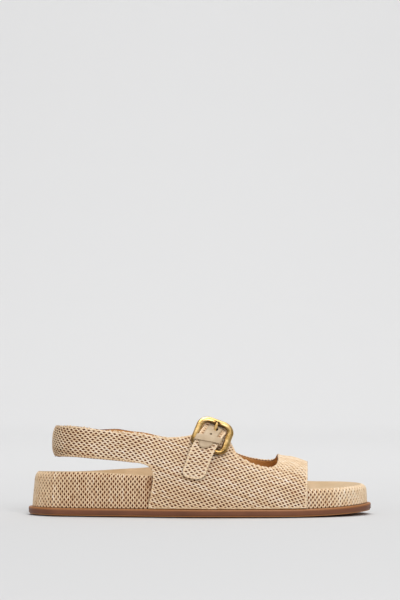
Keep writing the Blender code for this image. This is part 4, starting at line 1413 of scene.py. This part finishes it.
def rounded_end_strip(start, end, width, corner):
    """Outline of a strip with rounded corners at its start."""
    half = width / 2
    outline = []
    for sign, first in ((1, 90), (-1, 180)):
        for step in range(CORNER_STEPS + 1):
            angle = math.radians(first + 90 / CORNER_STEPS * step)
            along = start + corner + corner * math.cos(angle)
            outline.append((along, sign * (half - corner) + corner * math.sin(angle)))
    return np.array(outline + [(end, -half), (end, half)])


path = StrapPath(last)
print("hinge bar of the buckle at", path.point(0.0, 0.0, path.rise(0.0)).round(1), "mm")

# %% [markdown]
# The strap is made like the upper, brown cloth with strips over it, but its strips lie across its
# width. A smooth pale border runs round it. The holes are cut through cloth and leather with a
# round tool, and the strips stop where a hole comes. Beside the leather the strips are wider, with
# hardly a gap between them, and a shade darker.

# %% Cutting and punching a strip
PATCH_WIDTH, PATCH_THICK, PATCH_TIP, PATCH_TIP_ROUND, PATCH_END = 10.0, 0.6, -0.8, 4.9, 34.0
HoleRow = namedtuple("HoleRow", "along across half_length half_width")
HOLES = [HoleRow(18.4, 1.0, 2.9, 1.55), HoleRow(11.0, 0.0, 0.85, 0.85)]
HOLE_TALL, HOLE_SIDES, HOLE_ROOM = 15.0, 28, 0.3
STRAP_STEP, STRAP_LINES, STRAP_WELD = 1.7, 8, 0.1
STRAP_NET, STRAP_CLOTH_IN = 0.7, 0.3
STRIPS_FROM, STRIPS_TO, STRIP_ENDS_FROM, STRIP_ENDS_TO = 0.6, 0.5, 0.4, 0.3
STRAP_CHANCE, STRAP_SHORTEST = 0.1, 4
STRAP_STRIP_WAVE, STRAP_STRIP_SPACING, STRAP_STRIP_SWAY, STRAP_STRIP_WIDE = 4.0, 1.47, 0.38, 1.22
STRAP_CLOSE, STRAP_CLOSE_SHADE, STRAP_SHADE = 1.45, -0.18, 0.06
BORDER, BORDER_STEP, BORDER_PALENESS = 0.75, 1.0, 0.45


def strip_piece(name, outline, rise, thickness, *materials):
    """A strip that follows the strap's path at a given rise, with its wall outwards."""
    stations = np.arange(outline[:, 0].min() + STRAP_STEP, outline[:, 0].max(), STRAP_STEP)
    lines = np.linspace(-0.5, 0.5, STRAP_LINES + 1)[1:-1] * np.ptp(outline[:, 1])

    def place(along, across):
        return path.point(along, across, rise(along))

    bm = cut_sheet(outline, stations, lines, place)
    bmesh.ops.remove_doubles(bm, verts=bm.verts, dist=STRAP_WELD * MM)
    bmesh.ops.triangulate(bm, faces=[f for f in bm.faces if len(f.verts) > 4])
    face_outwards(bm)
    piece = finished(name, bm, *materials)
    thicken(piece, thickness)
    return piece


def punch(piece, hole):
    """A hole or slot square through the strap."""
    low, high = (Vector(path.point(hole.along, hole.across, off)) for off in (0.0, HOLE_TALL))
    out = (high - low).normalized()
    before, after = (Vector(path.point(hole.along + way, 0.0, 0.0)) for way in (-1, 1))
    ahead = after - before
    ahead = (ahead - out * ahead.dot(out)).normalized()
    axes = Matrix((ahead, out.cross(ahead), out)).transposed().to_4x4()
    bm = bmesh.new()
    bmesh.ops.create_cone(
        bm, cap_ends=True, segments=HOLE_SIDES, radius1=MM, radius2=MM, depth=HOLE_TALL * MM
    )
    bm.transform(Matrix.Diagonal((hole.half_length, hole.half_width, 1.0, 1.0)))
    bm.transform(Matrix.Translation((low + high) / 2 * MM) @ axes)
    carve(piece, bm)


def carve(piece, bm):
    """Takes the tool's solid out of the piece and keeps the result as its mesh."""
    mesh = bpy.data.meshes.new("tool")
    bm.to_mesh(mesh)
    bm.free()
    tool = put_in_scene("tool", mesh)
    difference = piece.modifiers.new("carve", "BOOLEAN")
    difference.operation = "DIFFERENCE"
    difference.solver = "EXACT"
    difference.object = tool
    seen = piece.evaluated_get(bpy.context.evaluated_depsgraph_get())
    carved = bpy.data.meshes.new_from_object(seen)
    piece.modifiers.clear()
    piece.data = carved
    bpy.data.objects.remove(tool)
    bpy.data.meshes.remove(mesh)


print("strap has", len(HOLES), "holes")

# %% [markdown]
# The cloth comes first. It is cut a little inside the outline, so that the border can close over
# its edge, and then the holes are punched.


# %% Cloth of the strap
def strap_outline(inwards):
    """Outline of the strap, moved inwards by a distance."""
    start, end, width = STRAP_TIP + inwards, STRAP_END - inwards, STRAP_WIDTH - 2 * inwards
    return rounded_end_strip(start, end, width, STRAP_TIP_ROUND)


cloth_outline = strap_outline(STRAP_CLOTH_IN)
strap = strip_piece("strap_cloth", cloth_outline, path.rise, STRAP_THICK - STRAP_NET, cloth)
for hole in HOLES:
    punch(strap, hole)
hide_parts("instep_strap")
print("strap cloth has", len(strap.data.polygons), "faces")

# %% [markdown]
# The strips go across the strap, each a short wave from one edge to the other. Where a hole comes,
# the points over it are left out and the strip ends on both sides of it.

# %% Strips across the strap
strap_net = Strips()
across = np.arange(-STRAP_WIDTH / 2 + STRIP_ENDS_FROM, STRAP_WIDTH / 2 - STRIP_ENDS_TO, STRIP_STEP)
middles = np.arange(STRAP_TIP + STRIPS_FROM, STRAP_END - STRIPS_TO, STRAP_STRIP_SPACING)
for strip, at in enumerate(middles):
    phase = 2 * math.pi * across / STRAP_STRIP_WAVE + math.pi * strip
    phase = phase + chance.normal(0, STRAP_CHANCE)
    along = at + STRAP_STRIP_SWAY * np.cos(phase)
    keep = inside(cloth_outline, along, across)
    for hole in HOLES:
        ahead = (along - hole.along) / (hole.half_length + HOLE_ROOM)
        aside = (across - hole.across) / (hole.half_width + HOLE_ROOM)
        keep &= np.hypot(ahead, aside) > 1
    for part in kept_runs(keep, STRAP_SHORTEST):
        outs = path.out(along[part], across[part])
        rise = path.rise(along[part]) + STRAP_THICK - STRAP_NET - STRIP_SINK
        centres = path.point(along[part], across[part], rise)
        close = PATCH_TIP + PATCH_WIDTH < at < PATCH_END
        wide = STRAP_CLOSE if close else STRAP_STRIP_WIDE
        shade = STRAP_CLOSE_SHADE if close else STRAP_SHADE
        strap_net.lay(centres, outs, -np.sin(phase[part]), wide, STRAP_NET, shade)
strap_net.finish("strap_raffia")

# %% [markdown]
# The border is the same bead as on the upper, a little thinner. It follows the outline of the
# strap at its outer face.

# %% Border of the strap
rim, _ = even_steps(strap_outline(BORDER), BORDER_STEP, True)
lay = path.rise(rim[:, 0]) + STRAP_THICK - BORDER
border = np.hstack([path.point(rim[:, 0], rim[:, 1], lay), path.out(rim[:, 0], rim[:, 1])])
bead("strap_border", border, BORDER, 0.0, True, BORDER_PALENESS)

# %% [markdown]
# A strip of leather runs down the middle of the strap, under the buckle, to take the holes. Its end
# is a half moon. The leather loop beside it keeps the strap flat. Leather gets a pebbled grain:
# cells a little under a millimetre, with creases between them.

# %% Pebbled beige leather
# Finished leather shows a fine pebble, a soft gloss and slow changes of tone.
leather, tree, shader, place = new_material("pebbled beige leather", Roughness=0.5)
PEBBLE_MM, LEATHER_CLOUD_MM = 0.8, 7.0
pebble = add_node(tree, "ShaderNodeTexVoronoi", {"Vector": place, "Scale": 1 / (PEBBLE_MM * MM)})
shade = add_node(
    tree,
    "ShaderNodeTexNoise",
    {"Vector": place, "Scale": 1 / (LEATHER_CLOUD_MM * MM), "Detail": 3.0},
)
tint = add_node(
    tree,
    "ShaderNodeValToRGB",
    {"Fac": shade.outputs["Fac"]},
    stops=((0.3, "#AF9778"), (0.7, "#C1AB8C")),
)
tree.links.new(tint.outputs["Color"], shader.inputs["Base Color"])
hide = add_node(
    tree,
    "ShaderNodeBump",
    {"Height": pebble.outputs["Distance"], "Strength": 0.35, "Distance": 0.15 * MM},
    invert=True,
)
tree.links.new(hide.outputs["Normal"], shader.inputs["Normal"])
print("leather is made of", len(tree.nodes), "nodes")

# %% [markdown]
# The strip is cut, laid on the strap and punched with the same tools as the cloth, so that the
# holes of both lie over each other.

# %% Leather strip with its holes
patch_outline = rounded_end_strip(PATCH_TIP, PATCH_END, PATCH_WIDTH, PATCH_TIP_ROUND)


def on_strap(along):
    """Offset of the leather strip's under face."""
    return path.rise(along) + STRAP_THICK + GAP


patch = strip_piece("leather_strip", patch_outline, on_strap, PATCH_THICK, leather)
for hole in HOLES:
    punch(patch, hole)
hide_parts("strap_patch")
print("leather strip has", len(patch.data.polygons), "faces")

# %% [markdown]
# The keeper is a band of the same leather, closed round the strap. It is a ring in two ways: round
# the strap it is a rectangle with round corners, and cut across it is a thin strip with soft edges.

# %% Leather keeper
KEEPER_FROM, KEEPER_WIDE, KEEPER_THICK, KEEPER_ROOM = 4.2, 4.6, 0.7, 0.2
KEEPER_CORNER, KEEPER_CORNER_STEPS = 0.9, 5
KEEPER_EDGE, KEEPER_EDGE_STEPS = 0.3, 3
KEEPER_SHARES = (0.25, 0.5, 0.75)
CORNERS = ((1, 1), (-1, 1), (-1, -1), (1, -1))

half_reach = STRAP_WIDTH / 2 + KEEPER_ROOM + KEEPER_THICK / 2 - KEEPER_CORNER
keeper_rows = []
for corner, (side, up) in enumerate(CORNERS):
    for step in range(KEEPER_CORNER_STEPS + 1):
        angle = math.pi / 2 * (corner + step / KEEPER_CORNER_STEPS)
        keeper_rows.append((side * half_reach, (up + 1) / 2, math.cos(angle), math.sin(angle)))
    next_side, next_up = CORNERS[(corner + 1) % len(CORNERS)]
    for share in KEEPER_SHARES:
        reach = side + (next_side - side) * share
        level = (up + (next_up - up) * share + 1) / 2
        keeper_rows.append((reach * half_reach, level, math.cos(angle), math.sin(angle)))
section = []
for corner, (a, t) in enumerate(CORNERS):
    for step in range(KEEPER_EDGE_STEPS + 1):
        angle = math.pi / 2 * (corner + step / KEEPER_EDGE_STEPS)
        along = a * (KEEPER_WIDE / 2 - KEEPER_EDGE) + KEEPER_EDGE * math.cos(angle)
        thick = t * (KEEPER_THICK / 2 - KEEPER_EDGE) + KEEPER_EDGE * math.sin(angle)
        section.append((along, thick))
section.append(section[0])
loop = np.zeros((len(keeper_rows) + 1, len(section), 3))
for i, (reach, level, side_way, up_way) in enumerate(keeper_rows + keeper_rows[:1]):
    for j, (along, thick) in enumerate(section):
        along += KEEPER_FROM + KEEPER_WIDE / 2
        top = float(path.rise(along)) + STRAP_THICK + PATCH_THICK + 2 * GAP + KEEPER_THICK / 2
        low = float(path.rise(along)) - GAP - KEEPER_THICK / 2 + KEEPER_CORNER
        high = top - KEEPER_CORNER
        out = KEEPER_CORNER + thick
        offset = low + (high - low) * level + out * up_way
        loop[i, j] = path.point(along, reach + out * side_way, offset)
keeper = shaped_sheet("leather_keeper", loop, leather)
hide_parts("keeper")
print("keeper has", len(keeper.data.polygons), "faces")

# %% [markdown]
# The buckle is a frame of softly flattened brass bar with tumbled, satin corners. Its hinge bar
# rests on the quarter and its top bar on the strap, so those two places give its tilt. A tube is
# run round a rectangle with round corners, and a small notch takes the point of the prong.


# %% Tumbled satin brass
BAR, BAR_WIDE, FRAME_WIDTH, FRAME_SHIFT = 3.5, 4.4, 28.7, 1.0
FRAME_CORNER_TOP, FRAME_CORNER_HINGE, TOP_BAR_OUT, HINGE_BAR_OUT = 9.1, 7.05, 1.1, 0.45
NOTCH_FLOOR, TOP_BAR_AT, HINGE_AT, HINGE_ROOM, FRAME_SKEW = 0.9, 23.3, 2.7, 0.7, 5.5
PRONG, PRONG_SWELL, PRONG_ACROSS, PRONG_END = 2.4, 0.1, 1.0, 0.97
NOTCH_ROOM, NOTCH_PAST = 0.5, 0.5
BAR_SIDES, BEND_STEPS = 20, 10
BAR_SWELL, BAR_IN, BAR_FLAT = 0.35, 0.15, 0.67
SHARP_DEGREES = 40

# Satin brass is tumbled, not polished: wide warm highlights, and a painted shade and painted dark
# reflection, brown, that a number on the vertices puts inside the frame, in the notch and down at
# the hinge bar.
brass, tree, shader, place = new_material("tumbled satin brass", Metallic=1.0)
TARNISH_MM = 5.0
BRASS_SHADE, HINGE_SHADE, HINGE_SHADE_TO = 0.9, 0.8, 6.0
SIDE_SHADE, TOP_SHADE_WIDE, TOP_SHADE_FADE, SHADE_POWER, SLOT_ROOM = 0.15, 6.0, 3.0, 1.2, 0.05
tarnish = add_node(
    tree, "ShaderNodeTexNoise", {"Vector": place, "Scale": 1 / (TARNISH_MM * MM), "Detail": 4.0}
)
tint = add_node(
    tree,
    "ShaderNodeValToRGB",
    {"Fac": tarnish.outputs["Fac"]},
    stops=((0.3, "#E0AF5C"), (0.7, "#F4D294")),
)
painted_shade = add_node(tree, "ShaderNodeAttribute", attribute_name="painted_shade")
brass_in_shade = add_node(
    tree,
    "ShaderNodeMix",
    {"Factor": painted_shade.outputs["Fac"], 6: tint.outputs["Color"], 7: linear("#3E230E")},
    data_type="RGBA",
)
tree.links.new(brass_in_shade.outputs[2], shader.inputs["Base Color"])
satin = add_node(
    tree,
    "ShaderNodeMapRange",
    {
        "Value": tarnish.outputs["Fac"],
        "From Min": 0.3,
        "From Max": 0.7,
        "To Min": 0.24,
        "To Max": 0.35,
    },
)
tree.links.new(satin.outputs["Result"], shader.inputs["Roughness"])
print("brass is made of", len(tree.nodes), "nodes")

# %% [markdown]
# The seat of the buckle is a small frame of axes: up from the hinge bar to the top bar, across the
# strap, and out. Frame, notch and prong are all made flat in it and then carried to the shoe, so
# they stay together when the strap is moved.


# %% Seat of the buckle
class BuckleSeat:
    """Place of the buckle: its hinge bar on the quarter, its top bar on the strap."""

    def __init__(self, path):
        hinge_offset = WALL + HINGE_ROOM + BAR / 2
        top_offset = float(path.rise(TOP_BAR_AT)) + STRAP_THICK + PATCH_THICK + 2 * GAP + BAR / 2
        hinge = Vector(path.point(HINGE_AT, 0.0, hinge_offset))
        top = Vector(path.point(TOP_BAR_AT, 0.0, top_offset))
        self.length = (top - hinge).length
        up = (top - hinge).normalized()
        middle, reach = (HINGE_AT + TOP_BAR_AT) / 2, STRAP_WIDTH / 2
        front = Vector(path.point(middle, reach, WALL)) - Vector(path.point(middle, -reach, WALL))
        front = (front - up * front.dot(up)).normalized()
        out = front.cross(up)
        if out.y > 0:
            out = -out
        centre = Vector((0.0, self.length / 2, 0.0))
        skew = Matrix.Translation(centre) @ Matrix.Rotation(math.radians(FRAME_SKEW), 4, "Z")
        axes = Matrix((front, up, out)).transposed().to_4x4()
        self.matrix = Matrix.Translation(hinge) @ axes @ skew @ Matrix.Translation(-centre)

    def place(self, across, along, height):
        """Point of the shoe at a place in the plane of the frame and a height off it."""
        return self.matrix @ Vector((across, along, height))


print("frame is turned by", FRAME_SKEW, "degrees in its plane")

# %% [markdown]
# The bar is a tube round the rectangle, a little wider than it is thick. A block is taken out of
# the top bar for the notch, and only its cut edges are shaded sharp.

# %% Brass frame with its notch
seat = BuckleSeat(path)
half_frame = (FRAME_WIDTH - BAR_WIDE) / 2 - BAR_IN
frame_low, frame_high = BAR_IN - HINGE_BAR_OUT, seat.length + TOP_BAR_OUT - BAR_IN
bar_line = []
for corner in range(4):
    right = 1 if corner in (0, 3) else -1
    bend = (FRAME_CORNER_TOP if corner < 2 else FRAME_CORNER_HINGE) - BAR_WIDE / 2
    along = frame_high - bend if corner < 2 else frame_low + bend
    for step in range(BEND_STEPS + 1):
        angle = math.pi / 2 * (corner + step / BEND_STEPS)
        across_at = FRAME_SHIFT + right * (half_frame - bend) + bend * math.cos(angle)
        bar_line.append(seat.place(across_at, along + bend * math.sin(angle), 0.0))
bar_line = np.array(bar_line)
buckle_out = np.array(seat.matrix.to_3x3() @ Vector((0, 0, 1)))
bar_outs = np.tile(buckle_out, (len(bar_line), 1))
bar_radii = np.full(len(bar_line), BAR_WIDE / 2 + BAR_SWELL)
frame_points = tube_points(bar_line, bar_outs, bar_radii, BAR_SIDES, True, flat=BAR_FLAT)
buckle = shaped_sheet("brass_buckle_frame", frame_points, brass)
notch = bmesh.new()
bmesh.ops.create_cube(notch, size=MM)
notch.transform(Matrix.Diagonal((PRONG + 2 * NOTCH_ROOM, 2 * BAR, BAR, 1.0)))
notch_at = seat.place(PRONG_ACROSS, seat.length + NOTCH_PAST - BAR, NOTCH_FLOOR + BAR / 2)
notch.transform(Matrix.Translation(notch_at * MM) @ seat.matrix.to_3x3().to_4x4())
carve(buckle, notch)
buckle.data.set_sharp_from_angle(angle=math.radians(SHARP_DEGREES))
print("frame has", len(buckle.data.polygons), "faces")

# %% [markdown]
# Painted shade and painted dark reflection, in brown, go where little light reaches the frame:
# inside it, most of all under the top bar, in the notch and at the hinge bar. Painting it by hand
# would work for one shape only, so each vertex gets its share from its place in the flat frame.

# %% Painted shade and dark reflection on the frame
flat = np.array([seat.matrix.inverted() @ (vert.co / MM) for vert in buckle.data.vertices])
across_at, along_at = flat[:, 0], flat[:, 1]
middle = (frame_low + frame_high) / 2
bend = np.where(along_at > middle, FRAME_CORNER_TOP, FRAME_CORNER_HINGE) - BAR_WIDE / 2
off_x = np.abs(across_at - FRAME_SHIFT) - (half_frame - bend)
off_y = np.abs(along_at - middle) - (frame_high - middle - bend)
inner = bend - np.hypot(np.maximum(off_x, 0), np.maximum(off_y, 0))
inner = inner - np.minimum(np.maximum(off_x, off_y), 0)
near_top = ease((along_at - frame_high + TOP_SHADE_WIDE) / TOP_SHADE_FADE)
shaded = np.clip(inner / (BAR_WIDE / 2), 0, 1) ** SHADE_POWER
shaded = shaded * (SIDE_SHADE + (1 - SIDE_SHADE) * near_top)
slot = np.abs(across_at - PRONG_ACROSS) < PRONG / 2 + NOTCH_ROOM + SLOT_ROOM
slot &= (along_at > frame_high - BAR_WIDE) & (along_at < seat.length + NOTCH_PAST + SLOT_ROOM)
shaded = np.maximum(shaded, HINGE_SHADE * ease((HINGE_SHADE_TO - along_at) / HINGE_SHADE_TO))
paint(buckle, "painted_shade", np.where(slot, 1.0, shaded) * BRASS_SHADE)
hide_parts("buckle_frame")
print("buckle is", round(frame_high - frame_low + BAR_WIDE, 1), "by", FRAME_WIDTH, "mm")

# %% [markdown]
# The prong is a thin brass rod with a rounded point. It lies under the strap, comes up through the
# hole and ends in the notch. It is one more tube, along a smooth curve through the few places that
# it must pass.

# %% Brass prong
ProngRow = namedtuple("ProngRow", "along height")
PRONG_PATH = [
    ProngRow(0.095, 0.2),
    ProngRow(0.285, -0.2),
    ProngRow(0.477, -0.64),
    ProngRow(0.594, -1.13),
    ProngRow(0.656, -1.2),
    ProngRow(0.74, -0.72),
    ProngRow(0.844, 0.93),
    ProngRow(0.923, 2.2),
    ProngRow(1.0, 2.2),
]
PRONG_POINTS, PRONG_SIDES, PRONG_TIP_POINTS, PRONG_TIP_FROM = 48, 14, 6, 0.1
PRONG_SWELL_FROM, PRONG_SWELL_FADE = 0.8, 0.12
at = np.linspace(PRONG_PATH[0].along, PRONG_END, PRONG_POINTS)
height = smooth(column(PRONG_PATH, "along"), column(PRONG_PATH, "height"), at)
rod = np.array([seat.place(PRONG_ACROSS, a * seat.length, h) for a, h in zip(at, height)])
radii = PRONG / 2 + PRONG_SWELL * ease((at - PRONG_SWELL_FROM) / PRONG_SWELL_FADE)
radii[-PRONG_TIP_POINTS:] *= np.sqrt(1 - np.linspace(PRONG_TIP_FROM, 1.0, PRONG_TIP_POINTS) ** 2)
radii[0] = 0.0
rod_outs = np.tile(buckle_out, (len(rod), 1))
prong = shaped_sheet("brass_prong", tube_points(rod, rod_outs, radii, PRONG_SIDES, False), brass)
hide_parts("buckle_prong")
print("prong has", len(prong.data.polygons), "faces")
